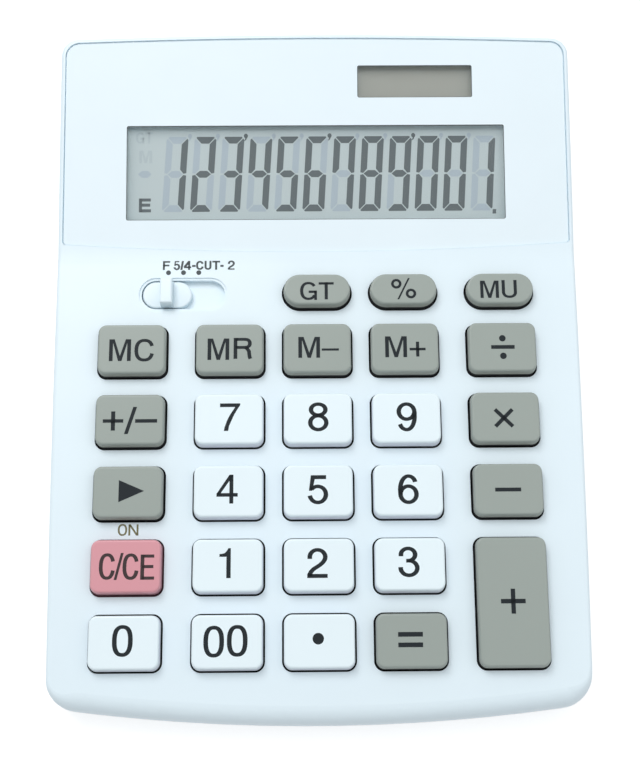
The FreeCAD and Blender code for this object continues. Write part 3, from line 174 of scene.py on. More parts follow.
def metal(name, colour, roughness=0.3):
    """Sheet or turned metal whose gloss varies finely."""
    material, tree, output = new_material(name)
    shader = tree.nodes.new("ShaderNodeBsdfPrincipled")
    shader.inputs["Base Color"].default_value = colour
    shader.inputs["Metallic"].default_value = 1.0
    place = tree.nodes.new("ShaderNodeTexCoord")
    noise = tree.nodes.new("ShaderNodeTexNoise")
    noise.inputs["Scale"].default_value = BRUSH_SCALE
    spread = tree.nodes.new("ShaderNodeMapRange")
    spread.inputs["To Min"].default_value = roughness * 0.7
    spread.inputs["To Max"].default_value = roughness * 1.3
    tree.links.new(place.outputs["Object"], noise.inputs["Vector"])
    tree.links.new(noise.outputs["Fac"], spread.inputs["Value"])
    tree.links.new(spread.outputs["Result"], shader.inputs["Roughness"])
    tree.links.new(shader.outputs["BSDF"], output.inputs["Surface"])
    return material


def clear_pane(name):
    """Clear acrylic: light passes straight on both ways, and only the outer side keeps its mirror gloss."""
    material, tree, output = new_material(name)
    through = tree.nodes.new("ShaderNodeBsdfTransparent")
    through.inputs["Color"].default_value = srgb(253, 254, 255)
    gloss = tree.nodes.new("ShaderNodeBsdfGlossy")
    gloss.inputs["Roughness"].default_value = 0.06
    fresnel = tree.nodes.new("ShaderNodeFresnel")
    fresnel.inputs["IOR"].default_value = 1.49
    side = tree.nodes.new("ShaderNodeNewGeometry")
    outer = tree.nodes.new("ShaderNodeMath")
    outer.operation = "SUBTRACT"
    outer.inputs[0].default_value = 1.0
    share = tree.nodes.new("ShaderNodeMath")
    share.operation = "MULTIPLY"
    mix = tree.nodes.new("ShaderNodeMixShader")
    tree.links.new(side.outputs["Backfacing"], outer.inputs[1])
    tree.links.new(fresnel.outputs["Fac"], share.inputs[0])
    tree.links.new(outer.outputs["Value"], share.inputs[1])
    tree.links.new(share.outputs["Value"], mix.inputs["Fac"])
    tree.links.new(through.outputs["BSDF"], mix.inputs[1])
    tree.links.new(gloss.outputs["BSDF"], mix.inputs[2])
    tree.links.new(mix.outputs["Shader"], output.inputs["Surface"])
    return material


case_white = plastic("case_white", srgb(233, 247, 254), roughness=0.36, grain=0.03)
key_white = plastic("key_white", srgb(237, 250, 255), roughness=0.32, grain=0.01)
key_grey = plastic("key_grey", srgb(155, 164, 158), roughness=0.36, grain=0.02)
key_red = plastic("key_red", srgb(219, 153, 162), roughness=0.34, grain=0.02)
# painted shade: darker copies of the key colours for the side walls of the caps
white_wall_shade = plastic("white_wall_shade", srgb(222, 227, 236), roughness=0.4, grain=0.01)
grey_wall_shade = plastic("grey_wall_shade", srgb(146, 150, 140), roughness=0.42, grain=0.02)
red_wall_shade = plastic("red_wall_shade", srgb(204, 139, 148), roughness=0.4, grain=0.02)
# painted shade: dark colours for the flange, the stem and a band low on the cap walls, where the gap round the key lies
# in shadow
key_low_shade = plastic("key_low_shade", srgb(26, 27, 29), roughness=0.6, grain=0.05)
red_low_shade = plastic("red_low_shade", srgb(160, 112, 122), roughness=0.6, grain=0.05)
legend_dark = plastic("legend_dark", srgb(34, 40, 44), roughness=0.5, grain=0.01, specular=0.15)
legend_brown = plastic("legend_brown", srgb(66, 55, 56), roughness=0.5, grain=0.01, specular=0.15)
legend_grey = plastic("legend_grey", srgb(84, 90, 92), roughness=0.5, grain=0.01, specular=0.15)
legend_olive = plastic("legend_olive", srgb(122, 118, 88), roughness=0.5, grain=0.01, specular=0.15)
print_white = plastic("print_white", srgb(237, 249, 255), roughness=0.5, grain=0.0, specular=0.2)
lcd_ground = plastic("lcd_ground", srgb(190, 200, 198), roughness=0.45, grain=0.02, variation=0.015)
lcd_lit = plastic("lcd_lit", srgb(96, 104, 105), roughness=0.5, grain=0.0, specular=0.2)
lcd_letters = plastic("lcd_letters", srgb(180, 191, 191), roughness=0.5, grain=0.0)
lcd_ghost = plastic("lcd_ghost", srgb(172, 184, 190), roughness=0.5, grain=0.0)
solar_face = plastic("solar_face", srgb(162, 161, 150), roughness=0.25, grain=0.02)
clamp_dark = plastic("clamp_dark", srgb(60, 60, 62))
rubber_dark = plastic("rubber_dark", srgb(38, 38, 40), roughness=0.75, grain=0.15, grain_scale=5000.0)
film_brown = plastic("film_brown", srgb(150, 100, 40), roughness=0.3)
lead_black = plastic("lead_black", srgb(22, 22, 24), roughness=0.5)
lead_red = plastic("lead_red", srgb(170, 30, 26), roughness=0.5)
board_green = plastic("board_green", srgb(38, 92, 58), roughness=0.3)
resin_black = plastic("resin_black", srgb(18, 18, 20), roughness=0.2)
ceramic_grey = plastic("ceramic_grey", srgb(150, 138, 118), roughness=0.5)
# painted shade round the openings of the display window
opening_shade = plastic("opening_shade", srgb(84, 90, 92), roughness=0.6, grain=0.0, specular=0.2)
adhesive_dark = plastic("adhesive_dark", srgb(40, 40, 42), roughness=0.8)
screw_steel = metal("screw_steel", srgb(190, 190, 186), roughness=0.35)
spring_metal = metal("spring_metal", srgb(205, 200, 180), roughness=0.3)
cell_steel = metal("cell_steel", srgb(200, 200, 200), roughness=0.22)
pane_clear = clear_pane("pane_clear")

NODE_MATERIALS = {
    "upper_case": case_white,
    "lower_case": case_white,
    "battery_cover": case_white,
    "rounding_switch": case_white,
    "display_window": pane_clear,
    "window_adhesive": adhesive_dark,
    "lcd_panel": lcd_ground,
    "lcd_clamp": clamp_dark,
    "display_ribbon": film_brown,
    "solar_cell": solar_face,
    "solar_leads": lead_black,
    "battery_leads": lead_red,
    "main_board": board_green,
    "controller_chip": resin_black,
    "board_components": ceramic_grey,
    "keypad_mat": rubber_dark,
    "switch_brush": spring_metal,
    "battery_contact_plus": spring_metal,
    "battery_contact_minus": spring_metal,
    "button_cell": cell_steel,
    "board_screws": screw_steel,
    "clamp_screws": screw_steel,
    "case_screws": screw_steel,
    "rubber_feet": rubber_dark,
}
for node, material in NODE_MATERIALS.items():
    slots = nodes[node].data.materials
    slots.clear()
    slots.append(material)


# lettering: every character is made of lines and filled shapes on a field 100 high
SHARPEST_BEND = 0.5
SHORTEST_STEP = 1e-9


def curve(cx, cy, rx, ry, start, end, power=2.0, count=24):
    """Points along part of an ellipse, angles in degrees. A power over 2 makes it squarer."""
    points = []
    for i in range(count + 1):
        angle = math.radians(start + (end - start) * i / count)
        across, up = math.cos(angle), math.sin(angle)
        points.append((cx + rx * math.copysign(abs(across) ** (2 / power), across),
                       cy + ry * math.copysign(abs(up) ** (2 / power), up)))
    return points


def ring(cx, cy, rx, ry, power=2.0, count=40):
    """A closed ellipse that starts at its top."""
    return curve(cx, cy, rx, ry, 90, 450, power, count)[:-1]


def block(left, right, low, high):
    """A filled rectangle."""
    return [(left, low), (right, low), (right, high), (left, high)]


# digits as width and parts, drawn for lines about 15 thick where they are upright and 12 where they are level
DIGITS = {
    "0": (66, [("loop", ring(33, 50, 25.5, 44.1, 2.5))]),
    "1": (37.8, [("fill", [(0, 71.2), (23.2, 71.2), (23.2, 0), (37.8, 0), (37.8, 100), (29.6, 100), (26.6, 94.4),
                           (22, 88), (16.5, 83.1), (8, 81), (0, 80.5)])]),
    "2": (68.3, [("line", [(9, 63.8)] + curve(34.9, 70, 25.9, 23.8, 180, -25) +
                  [(53, 52), (44, 44), (33, 37), (22, 30), (13.5, 21.5), (9, 13), (7.6, 6)]),
                 ("fill", block(0, 68.3, 0, 13.4))]),
    "3": (68.5, [("line", [(8.5, 68.5)] + curve(31.9, 73.9, 23.4, 20.1, 180, -90)),
                 ("fill", block(25.3, 33, 47.6, 59.7)),
                 ("line", curve(34.1, 29.9, 27.4, 23.9, 90, -180) + [(6.7, 33)])]),
    "4": (73.2, [("fill", [(0, 33.9), (44.4, 100), (51, 100), (51, 79), (44.4, 79), (14.8, 36.2), (14.8, 30), (0, 30)]),
                 ("fill", block(0, 73.2, 23.7, 36.2)), ("fill", block(44.4, 58, 0, 100))]),
    "5": (70.5, [("fill", [(11.2, 100), (63.9, 100), (63.9, 86.4), (24.8, 86.4), (18.6, 58.9), (15.5, 46.5),
                           (3.9, 46.5)]),
                 ("line", curve(34.9, 33.9, 27.9, 27.7, 140, -172))]),
    "6": (69.8, [("loop", ring(35.5, 33.2, 27.1, 27.1)),
                 ("line", curve(36, 70, 23.4, 24.3, 10, 90, count=8) +
                  curve(36, 48, 28.4, 46.3, 90, 180, count=14)[1:] + [(8.2, 33)])]),
    "7": (73.6, [("fill", [(0, 99.6), (73.6, 99.6), (73.6, 93.5), (70.3, 88.6), (64.2, 79.3), (52, 58.9), (41.9, 36.6),
                           (33.7, 18.3), (30.5, 0), (14.6, 0), (17.5, 14.2), (25.6, 36.6), (35.8, 56.9), (48, 75.2),
                           (55.3, 86.2), (0, 86.2)])]),
    "8": (68.7, [("loop", ring(34.2, 75, 24.4, 19)), ("loop", ring(34.2, 29.8, 27.1, 23.8))]),
    "9": (69.2, [("loop", ring(34.05, 67.7, 26.7, 26)),
                 ("line", [(61.5, 67)] + curve(34, 52, 27.5, 46.2, 0, -90, count=14) +
                  curve(34, 30, 23.6, 24.2, -90, -168, count=8)[1:] + [(10.9, 25)])]),
}


def capital(char, w, u, v):
    """Parts of a letter or sign w wide with upright strokes 2u and level strokes 2v thick."""
    m = w / 2
    if char == "C":
        return [("line", curve(m, 50, m - u, 50 - v, 21, 344, 2.4))]
    if char == "E":
        return [("fill", block(0, 2 * u, 0, 100)), ("fill", block(u, w, 0, 2 * v)),
                ("fill", block(u, w * 0.93, 52 - v, 52 + v)), ("fill", block(u, w * 0.98, 100 - 2 * v, 100))]
    if char == "F":
        return [("fill", block(0, 2 * u, 0, 100)), ("fill", block(u, w * 0.9, 50 - v, 50 + v)),
                ("fill", block(u, w, 100 - 2 * v, 100))]
    if char == "G":
        return [("line", curve(m, 50, m - u, 50 - v, 34, 330, 2.3)), ("fill", block(w * 0.51, w, 52 - 2 * v, 52)),
                ("fill", block(w - 1.7 * u, w, 0, 52))]
    if char == "M":
        s, q = 2.84 * u, 0.9 * u
        return [("fill", [(0, 0), (0, 100), (s, 100), (m, s), (w - s, 100), (w, 100), (w, 0), (w - 2 * u, 0),
                          (w - 2 * u, 84), (m + q, 0), (m - q, 0), (2 * u, 84), (2 * u, 0)])]
    if char == "N":
        s = 2.4 * u
        return [("fill", block(0, 2 * u, 0, 100)), ("fill", block(w - 2 * u, w, 0, 100)),
                ("fill", [(0, 100), (s, 100), (w, 0), (w - s, 0)])]
    if char == "O":
        return [("loop", ring(m, 50, m - u, 50 - v, 2.3))]
    if char == "R":
        bowl = curve(w * 0.62, 73.5, w * 0.38 - u, 26.5 - v, 90, -90, 2.3, 16)
        leg = [(w * 0.66, 47 + v), (w * 0.78, 45), (w * 0.85, 36), (w * 0.87, 20), (w * 0.89, 8), (w * 0.93, 0)]
        return [("fill", block(0, 2 * u, 0, 100)), ("line", [(u, 100 - v)] + bowl + [(u, 47 + v)]), ("line", leg)]
    if char == "T":
        return [("fill", block(m - u, m + u, 0, 100)), ("fill", block(0, w, 100 - 2 * v, 100))]
    if char == "U":
        return [("line", [(u, 100)] + curve(m, 33, m - u, 33 - v, 180, 360, 2.2) + [(w - u, 100)])]
    if char == "/":
        return [("fill", [(0, 0), (2 * u, 0), (w, 100), (w - 2 * u, 100)])]
    if char == "+":
        return [("fill", block(0, w, 50 - v, 50 + v)), ("fill", block(m - u, m + u, 0, 100))]
    if char == "=":
        return [("fill", block(0, w, 0, 2 * v)), ("fill", block(0, w, 100 - 2 * v, 100))]
    if char == "-":
        return [("fill", block(0, w, 0, 100))]
    if char == ">":
        return [("fill", [(0, 0), (w, 50), (0, 100)])]
    if char == "x":
        a = 1.42 * v
        b = a * w / 100
        return [("fill", [(0, a), (b, 0), (w, 100 - a), (w - b, 100)]),
                ("fill", [(0, 100 - a), (w - b, 0), (w, a), (b, 100)])]
    if char == ".":
        return [("fill", ring(m, 50, m, 50))]
    if char == "four":
        return [("fill", block(w * 0.58, w * 0.58 + 2 * u, 0, 100)), ("fill", block(0, w, 20, 20 + 2 * v)),
                ("fill", [(0, 20), (0, 20 + 2.4 * v), (w * 0.58, 100), (w * 0.58 + u, 100), (w * 0.58 + u, 74),
                          (1.9 * u, 20 + v)])]
    if char == "o":
        return [("loop", ring(m, 50, m - u, 50 - v))]
    raise ValueError(f"no shape for {char}")


def stroke(points, closed, u, v, verts, faces, z):
    """Lay a flat band along a line, 2u thick where the line is upright and 2v where it is level."""
    count = len(points)
    start = len(verts)
    for i, (x, y) in enumerate(points):
        before = points[i - 1] if (closed or i > 0) else points[i]
        after = points[(i + 1) % count] if (closed or i < count - 1) else points[i]
        first = Vector((x - before[0], y - before[1]))
        second = Vector((after[0] - x, after[1] - y))
        if first.length < SHORTEST_STEP:
            first = second
        if second.length < SHORTEST_STEP:
            second = first
        first.normalize()
        second.normalize()
        along = first + second
        along.normalize()
        reach = 1 / max(SHARPEST_BEND, along.dot(first))
        side = Vector((-along.y * u, along.x * v)) * reach
        verts.append((x + side.x, y + side.y, z))
        verts.append((x - side.x, y - side.y, z))
    for i in range(count if closed else count - 1):
        a = start + 2 * i
        b = start + 2 * ((i + 1) % count)
        faces.append((a, a + 1, b + 1, b))


def letter(char, x, y, width, height, pen, verts, faces, z):
    """Draw one character with its lower left corner at x, y, all in millimetres."""
    u, v = pen[0] / 2, pen[1] / 2
    scale = height / 100
    if char in DIGITS:
        natural, parts = DIGITS[char]
    else:
        natural = width / scale
        parts = capital(char, natural, u / scale, v / scale)
    stretch = width / natural
    for kind, points in parts:
        scaled = [(x + px * stretch, y + py * scale) for px, py in points]
        if kind == "fill":
            faces.append(tuple(range(len(verts), len(verts) + len(scaled))))
            verts.extend((px, py, z) for px, py in scaled)
        else:
            stroke(scaled, kind == "loop", u, v, verts, faces, z)


# keys: heights from the key field's surface, reaches and the draft of the lower wall outwards, insets inwards
KEY_WIDTH = 16.2
KEY_DEPTH = 12.3
OVAL_DEPTH = 7.9
KEY_RISE = 2.9
KEY_CORNER = 1.9
SHARPEST_CORNER = 0.35
KEY_LEAN = 0.17
KEY_DRAFT = 0.07
KEY_EDGE = 0.5
EDGE_INSET = 0.03
EDGE_STEPS = 8
TOP_INSET = 0.2
FRONT_REACH = 0.08
FRONT_DRAFT = 0.3
FRONT_FOOT = 0.15
WALL_LOWEST = 0.3
BAND_GAP = 0.1
FLANGE_TOP = -2.0
FLANGE_BOTTOM = -2.9
FLANGE_REACH = 1.05
FLANGE_CORNER = 0.3
OVAL_SPARE = 0.01
STEM_BOTTOM = -4.5
STEM_WEBS = ((2.3, 0.65), (0.65, 2.3))
WEB_CORNER = 0.1

# by slot: cap, wall in painted shade, lower band in dark painted shade, height of the band, ink, and widths of the
# ink's upright and level strokes
KEY_LOOKS = {
    "key_white": (key_white, white_wall_shade, key_low_shade, 0.1, legend_dark, (1.07, 0.84)),
    "key_grey": (key_grey, grey_wall_shade, key_low_shade, 1.0, legend_dark, (0.90, 0.74)),
    "key_red": (key_red, red_wall_shade, red_low_shade, 1.9, legend_brown, (0.88, 0.72)),
}
OVAL_PEN = (0.78, 0.60)

# keys: name, column, row, slot and legend, each character with centre x and y, width, height
# and, where they aren't the slot's, the widths of its upright and level strokes
KEYS = [
    ("key_0", -2, 0, "key_white", [("0", -0.18, 0.49, 4.72, 7.05)]),
    ("key_00", -1, 0, "key_white", [("0", -2.97, 0.17, 4.7, 7.05), ("0", 2.38, 0.31, 4.7, 7.05)]),
    ("key_point", 0, 0, "key_white", [(".", -0.28, 0.63, 2.6, 2.6)]),
    ("key_equals", 1, 0, "key_grey", [("=", -0.35, 0.27, 5.65, 3.4, 1.05, 1.05)]),
    ("key_clear", -2, 1, "key_red", [("C", -4.2, 0.04, 3.75, 6.05), ("/", -1.52, 0.03, 2.14, 6.17, 0.64, 0.64),
                                     ("C", 1.25, -0.03, 3.75, 6.05), ("E", 5.1, -0.16, 3.2, 5.75)]),
    ("key_1", -1, 1, "key_white", [("1", -0.56, 0.61, 2.61, 6.86)]),
    ("key_2", 0, 1, "key_white", [("2", -0.37, 0.49, 4.72, 6.86)]),
    ("key_3", 1, 1, "key_white", [("3", -0.31, 0.59, 4.81, 7.0)]),
    ("key_backspace", -2, 2, "key_grey", [(">", 0.92, 0.24, 5.95, 5.2)]),
    ("key_4", -1, 2, "key_white", [("4", -0.24, 0.54, 4.95, 6.78)]),
    ("key_5", 0, 2, "key_white", [("5", -0.11, 0.25, 4.78, 6.85)]),
    ("key_6", 1, 2, "key_white", [("6", -0.05, 0.22, 4.8, 7.0)]),
    ("key_minus", 2, 2, "key_grey", [("-", -0.17, -0.02, 6.1, 0.91)]),
    ("key_sign", -2, 3, "key_grey", [("+", -3.86, -0.29, 4.85, 4.62, 0.98, 0.84),
                                     ("/", 0.27, -0.19, 2.95, 6.55, 0.9, 0.9), ("-", 3.97, -0.32, 5.21, 0.86)]),
    ("key_7", -1, 3, "key_white", [("7", 0.28, 0.48, 4.8, 6.68)]),
    ("key_8", 0, 3, "key_white", [("8", 0.11, 0.4, 4.82, 7.0)]),
    ("key_9", 1, 3, "key_white", [("9", 0.03, 0.28, 4.78, 7.05)]),
    ("key_multiply", 2, 3, "key_grey", [("x", -0.44, -0.15, 4.8, 4.75, 0.9, 0.9)]),
    ("key_memory_clear", -2, 4, "key_grey", [("M", -2.72, -0.22, 5.23, 5.4), ("C", 3.12, -0.26, 4.76, 5.6)]),
    ("key_memory_recall", -1, 4, "key_grey", [("M", -2.66, -0.12, 5.2, 5.31), ("R", 3.16, 0.06, 4.35, 5.2)]),
    ("key_memory_minus", 0, 4, "key_grey", [("M", -1.95, 0.21, 5.22, 5.2), ("-", 3.13, -0.37, 4.14, 0.55)]),
    ("key_memory_plus", 1, 4, "key_grey", [("M", -2.14, 0.22, 5.25, 5.2), ("+", 3.04, -0.39, 3.85, 3.7, 0.78, 0.64)]),
    ("key_divide", 2, 4, "key_grey", [("-", 0.05, 0.01, 5.65, 0.93), (".", 0.0, 2.18, 1.6, 1.6),
                                      (".", 0.08, -2.19, 1.6, 1.6)]),
    ("key_plus", 2, 0.5, "key_grey", [("+", -0.1, 0.09, 5.68, 5.65, 1.02, 1.02)]),
    ("key_grand_total", 0, "oval", "key_grey", [("G", -2.03, -0.38, 4.1, 4.6), ("T", 2.28, -0.37, 3.68, 4.36)]),
    ("key_percent", 1, "oval", "key_grey", [("o", -1.73, 1.32, 2.55, 2.48, 0.66, 0.62),
                                            ("o", 1.79, -1.18, 2.55, 2.48, 0.66, 0.62),
                                            ("/", 0.01, 0.06, 3.14, 5.39, 0.46, 0.46)]),
    ("key_mark_up", 2, "oval", "key_grey", [("M", -2.6, -0.22, 4.52, 4.4), ("U", 2.23, -0.16, 3.68, 4.55)]),
]


def key_place(column, row):
    """The middle of a key on the key field. The outer columns stand a little further out than the pitch."""
    x = column * COLUMN_PITCH if abs(column) < 2 else math.copysign(OUTER_COLUMN, column)
    y = OVAL_ROW if row == "oval" else FIRST_ROW + row * ROW_PITCH
    return x, y


def make_key(name, column, row, slot, legend):
    """A cap with soft upper edges that leans a little to the back, on a dark flange with its stem. The walls are
    painted shade, and the flange, stem and a band low on the wall are dark painted shade.
    """
    top, wall, band, band_top, ink, pen = KEY_LOOKS[slot]
    oval = row == "oval"
    depth = OVAL_DEPTH if oval else KEY_DEPTH + (ROW_PITCH if name == "key_plus" else 0.0)
    half_x = KEY_WIDTH / 2
    half_y = depth / 2
    corner = half_y - OVAL_SPARE if oval else KEY_CORNER
    flange_corner = half_y + FLANGE_REACH - OVAL_SPARE if oval else FLANGE_CORNER
    place = KEYBOARD @ Matrix.Translation((*key_place(column, row), 0))

    def ring_at(z, inset):
        rise = min(max((z - FRONT_FOOT) / (KEY_RISE - FRONT_FOOT), 0.0), 1.0)
        front = FRONT_REACH - FRONT_DRAFT * rise
        lean = KEY_LEAN * (z - FLANGE_TOP) / (KEY_RISE - FLANGE_TOP)
        half_depth = half_y - inset + front / 2
        radius = max(min(corner - inset, half_depth), SHARPEST_CORNER)
        return rounded_ring(half_x - inset, half_depth, radius, z, lean - front / 2)

    verts, faces = [], []
    # the flange, the stem and the lower band take the dark painted shade
    stack_rings([rounded_ring(half_x + FLANGE_REACH, half_y + FLANGE_REACH, flange_corner, z)
                 for z in (FLANGE_BOTTOM, FLANGE_TOP)], verts, faces)
    for web_x, web_y in STEM_WEBS:
        stack_rings([rounded_ring(web_x, web_y, WEB_CORNER, z, steps=1)
                     for z in (STEM_BOTTOM, FLANGE_BOTTOM)], verts, faces)
    stack_rings([ring_at(FLANGE_TOP, -KEY_DRAFT), ring_at(band_top, -KEY_DRAFT)], verts, faces)
    band_faces = len(faces)
    levels = [(band_top, -KEY_DRAFT), (max(band_top, WALL_LOWEST) + BAND_GAP, -KEY_DRAFT),
              (KEY_RISE - KEY_EDGE, EDGE_INSET)]
    for step in range(1, EDGE_STEPS + 1):
        angle = math.radians(90 * step / EDGE_STEPS)
        levels.append((KEY_RISE - KEY_EDGE * (1 - math.sin(angle)), EDGE_INSET + KEY_EDGE * (1 - math.cos(angle))))
    levels.append((KEY_RISE, KEY_EDGE + TOP_INSET))
    stack_rings([ring_at(z, inset) for z, inset in levels], verts, faces)
    wall_faces = band_faces + 2 * len(ring_at(0, 0))
    cap = add_object(name.replace("key_", "cap_"), verts, faces, place, [top, band, wall], name, slot, True)
    for index, face in enumerate(cap.data.polygons):
        if index < wall_faces:
            face.material_index = 1 if index < band_faces else 2
    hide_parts(name)

    verts, faces = [], []
    for char, x, y, width, height, *own_pen in legend:
        letter(char, x - width / 2, y + KEY_LEAN - height / 2, width, height,
               own_pen or (OVAL_PEN if oval else pen), verts, faces, KEY_RISE + INK_LIFT)
    add_object(name.replace("key_", "legend_"), verts, faces, place, ink, name, slot)


for entry in KEYS:
    make_key(*entry)


# rubber mat: a pierced sheet on the board, and under every key a hollow dome
MAT_TOP = -7.1
MAT_THICKNESS = 1.0
MAT_OUTLINE = (-52.35, 12.05, 52.35, 107.81)
BOSS_HOLE = 2.7
SWITCH_MIDDLE = -32.8
SWITCH_WELL = (9.25, 4.3)

# domes: half widths, then heights, of which those of the shoulder, the pill and the inside count from the sheet
DOME_FOOT = 4.8
DOME_INSIDE = 4.1
DOME_ROOF = 3.2
PILL = 2.0
DOME_CORNER = 0.4
DOME_TOP = -4.52
SHOULDER_HEIGHT = 1.0
INSIDE_HEIGHT = 1.6
PILL_HEIGHT = 0.9


def box_round(x, y, half_x, half_y):
    """Left, front, right and back of a box with its middle at x, y."""
    return x - half_x, y - half_y, x + half_x, y + half_y


def make_mat_sheet():
    """The sheet as a grid whose lines follow all edges, without the cells that lie in an opening."""
    boss_x = (COLUMN_PITCH + OUTER_COLUMN) / 2
    holes = [box_round(*key_place(column, row), DOME_INSIDE, DOME_INSIDE) for _, column, row, _, _ in KEYS]
    holes += [box_round(side * boss_x, FIRST_ROW + rows * ROW_PITCH, BOSS_HOLE, BOSS_HOLE)
              for side in (-1, 1) for rows in (0.5, 3.5)]
    holes.append(box_round(SWITCH_MIDDLE, OVAL_ROW, *SWITCH_WELL))
    xs = sorted({edge for box in [MAT_OUTLINE] + holes for edge in box[0::2]})
    ys = sorted({edge for box in [MAT_OUTLINE] + holes for edge in box[1::2]})

    def solid(i, j):
        if not (0 <= i < len(xs) - 1 and 0 <= j < len(ys) - 1):
            return False
        x, y = (xs[i] + xs[i + 1]) / 2, (ys[j] + ys[j + 1]) / 2
        return not any(left < x < right and front < y < back for left, front, right, back in holes)

    verts, faces, known = [], [], {}

    def point(i, j, z):
        if (i, j, z) not in known:
            known[i, j, z] = len(verts)
            verts.append((xs[i], ys[j], z))
        return known[i, j, z]

    low, high = MAT_TOP - MAT_THICKNESS, MAT_TOP
    for i in range(len(xs) - 1):
        for j in range(len(ys) - 1):
            if not solid(i, j):
                continue
            corners = ((i, j), (i + 1, j), (i + 1, j + 1), (i, j + 1))
            faces.append([point(*corner, high) for corner in corners])
            faces.append([point(*corner, low) for corner in reversed(corners)])
            for side, (step_i, step_j) in enumerate(((0, -1), (1, 0), (0, 1), (-1, 0))):
                if not solid(i + step_i, j + step_j):
                    p, q = corners[side], corners[(side + 1) % 4]
                    faces.append([point(*p, low), point(*q, low), point(*q, high), point(*p, high)])
    sheet = add_object("mat_sheet", verts, faces, KEYBOARD, rubber_dark, "housing", "mat_rubber")
    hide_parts("keypad_mat")


def make_dome(name, column, row):
    """A square dome with a sloping shoulder and a contact pill under its roof."""
    place = KEYBOARD @ Matrix.Translation((*key_place(column, row), 0))
    pill, roof, shoulder = MAT_TOP + PILL_HEIGHT, MAT_TOP + INSIDE_HEIGHT, MAT_TOP + SHOULDER_HEIGHT
    profile = [(PILL, pill), (PILL, roof), (DOME_ROOF, roof), (DOME_ROOF, shoulder), (DOME_INSIDE, shoulder),
               (DOME_INSIDE, MAT_TOP), (DOME_FOOT, MAT_TOP), (DOME_FOOT, shoulder), (DOME_ROOF, DOME_TOP)]
    verts, faces = [], []
    stack_rings([rounded_ring(half, half, DOME_CORNER, z, steps=2) for half, z in profile], verts, faces)
    dome = add_object(name.replace("key_", "dome_"), verts, faces, place, rubber_dark, "housing", "mat_rubber")
    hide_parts("keypad_mat")
    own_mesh(dome)


make_mat_sheet()
for key_name, key_column, key_row, _, _ in KEYS:
    make_dome(key_name, key_column, key_row)


# rounding switch: its place at rest and its blocks, each with half lengths, corner radius, lower and upper height
SWITCH_REST = -36.7
SHUTTER_FOOT = (3.55, 2.5, 0.1, -7.0, -3.0)
SHUTTER = (15.05, 4.55, 0.2, -3.0, -2.0)
BUTTON = (6.02, 3.32, 3.31, -2.0, -0.25)
RIB = (1.58, 3.42, 0.35, -0.4, 3.0)
BUTTON_EDGE = 0.4
RIB_EDGE = 0.45
RIB_WAIST = 0.26
RIB_SLOPE = 0.022
LEAST_CORNER = 0.05
SOFT_STEPS = 6


def soft_block(size, edge, verts, faces, waist=0.0, slope=0.0):
    """A block with a round upper edge. Its middle can be narrower and its front higher than its back."""
    half_x, half_y, radius, low, high = size
    levels = [(low, 0.0)]
    for step in range(SOFT_STEPS + 1):
        angle = math.radians(90 * step / SOFT_STEPS)
        levels.append((high - edge * (1 - math.sin(angle)), edge * (1 - math.cos(angle))))
    rings = []
    for z, inset in levels:
        loop = rounded_ring(half_x - inset, half_y - inset, max(radius - inset, LEAST_CORNER), z, steps=10)
        rings.append([(x * (1 - waist * (1 - (y / half_y) ** 2)), y + slope * (z - low) * (half_y - y), z)
                      for x, y, z in loop])
    stack_rings(rings, verts, faces)


def make_switch():
    """The slide's long shutter, its oval button with soft edges, and the waisted rib that the finger pushes."""
    place = KEYBOARD @ Matrix.Translation((SWITCH_REST, OVAL_ROW, 0))
    verts, faces = [], []
    for (half_x, half_y, radius, low, high), steps in ((SHUTTER_FOOT, 1), (SHUTTER, 2)):
        stack_rings([rounded_ring(half_x, half_y, radius, z, steps=steps) for z in (low, high)], verts, faces)
    flat_faces = len(faces)
    soft_block(BUTTON, BUTTON_EDGE, verts, faces)
    soft_block(RIB, RIB_EDGE, verts, faces, RIB_WAIST, RIB_SLOPE)
    knob = add_object("switch_knob", verts, faces, place, case_white, "rounding_switch", "case_white", True)
    for face in knob.data.polygons[:flat_faces]:
        face.use_smooth = False
    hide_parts("rounding_switch")


make_switch()


# printing on the case: ON above the clear key, and the rounding scale, whose characters are given by their left and
# right edge, with the foot and height of each kind below
SCALE_TEXT = (("F", -37.92, -36.15), ("5", -35.21, -33.75), ("/", -33.6, -32.75), ("four", -32.75, -30.93),
              ("-", -30.72, -29.85), ("C", -29.74, -27.85), ("U", -27.65, -25.95), ("T", -25.75, -23.83),
              ("-", -23.75, -22.95), ("2", -21.86, -20.25))
SCALE_DOTS = (-36.5, -32.8, -29.04)
CHARACTER_ROW = (108.4, 2.3)
DASH_ROW = (109.15, 0.5)
DOT_ROW = (107.08, 1.2)
SCALE_LIFT = 0.035


def print_on_case(name, chars, pen, ink, lift):
    """Characters given by their left and right edge, foot and height."""
    verts, faces = [], []
    for char, left, right, foot, height in chars:
        letter(char, left, foot, right - left, height, pen, verts, faces, lift)
    add_object(name, verts, faces, KEYBOARD, ink, "housing", "case_white")


scale = [(char, left, right, *(DASH_ROW if char == "-" else CHARACTER_ROW)) for char, left, right in SCALE_TEXT]
scale += [(".", x - DOT_ROW[1] / 2, x + DOT_ROW[1] / 2, *DOT_ROW) for x in SCALE_DOTS]
print_on_case("rounding_scale", scale, (0.5, 0.42), legend_grey, SCALE_LIFT)
print_on_case("on_mark", [("O", -47.09, -44.9, 43.15, 2.75), ("N", -44.6, -42.25, 43.2, 2.6)], (0.44, 0.38),
              legend_olive, INK_LIFT)


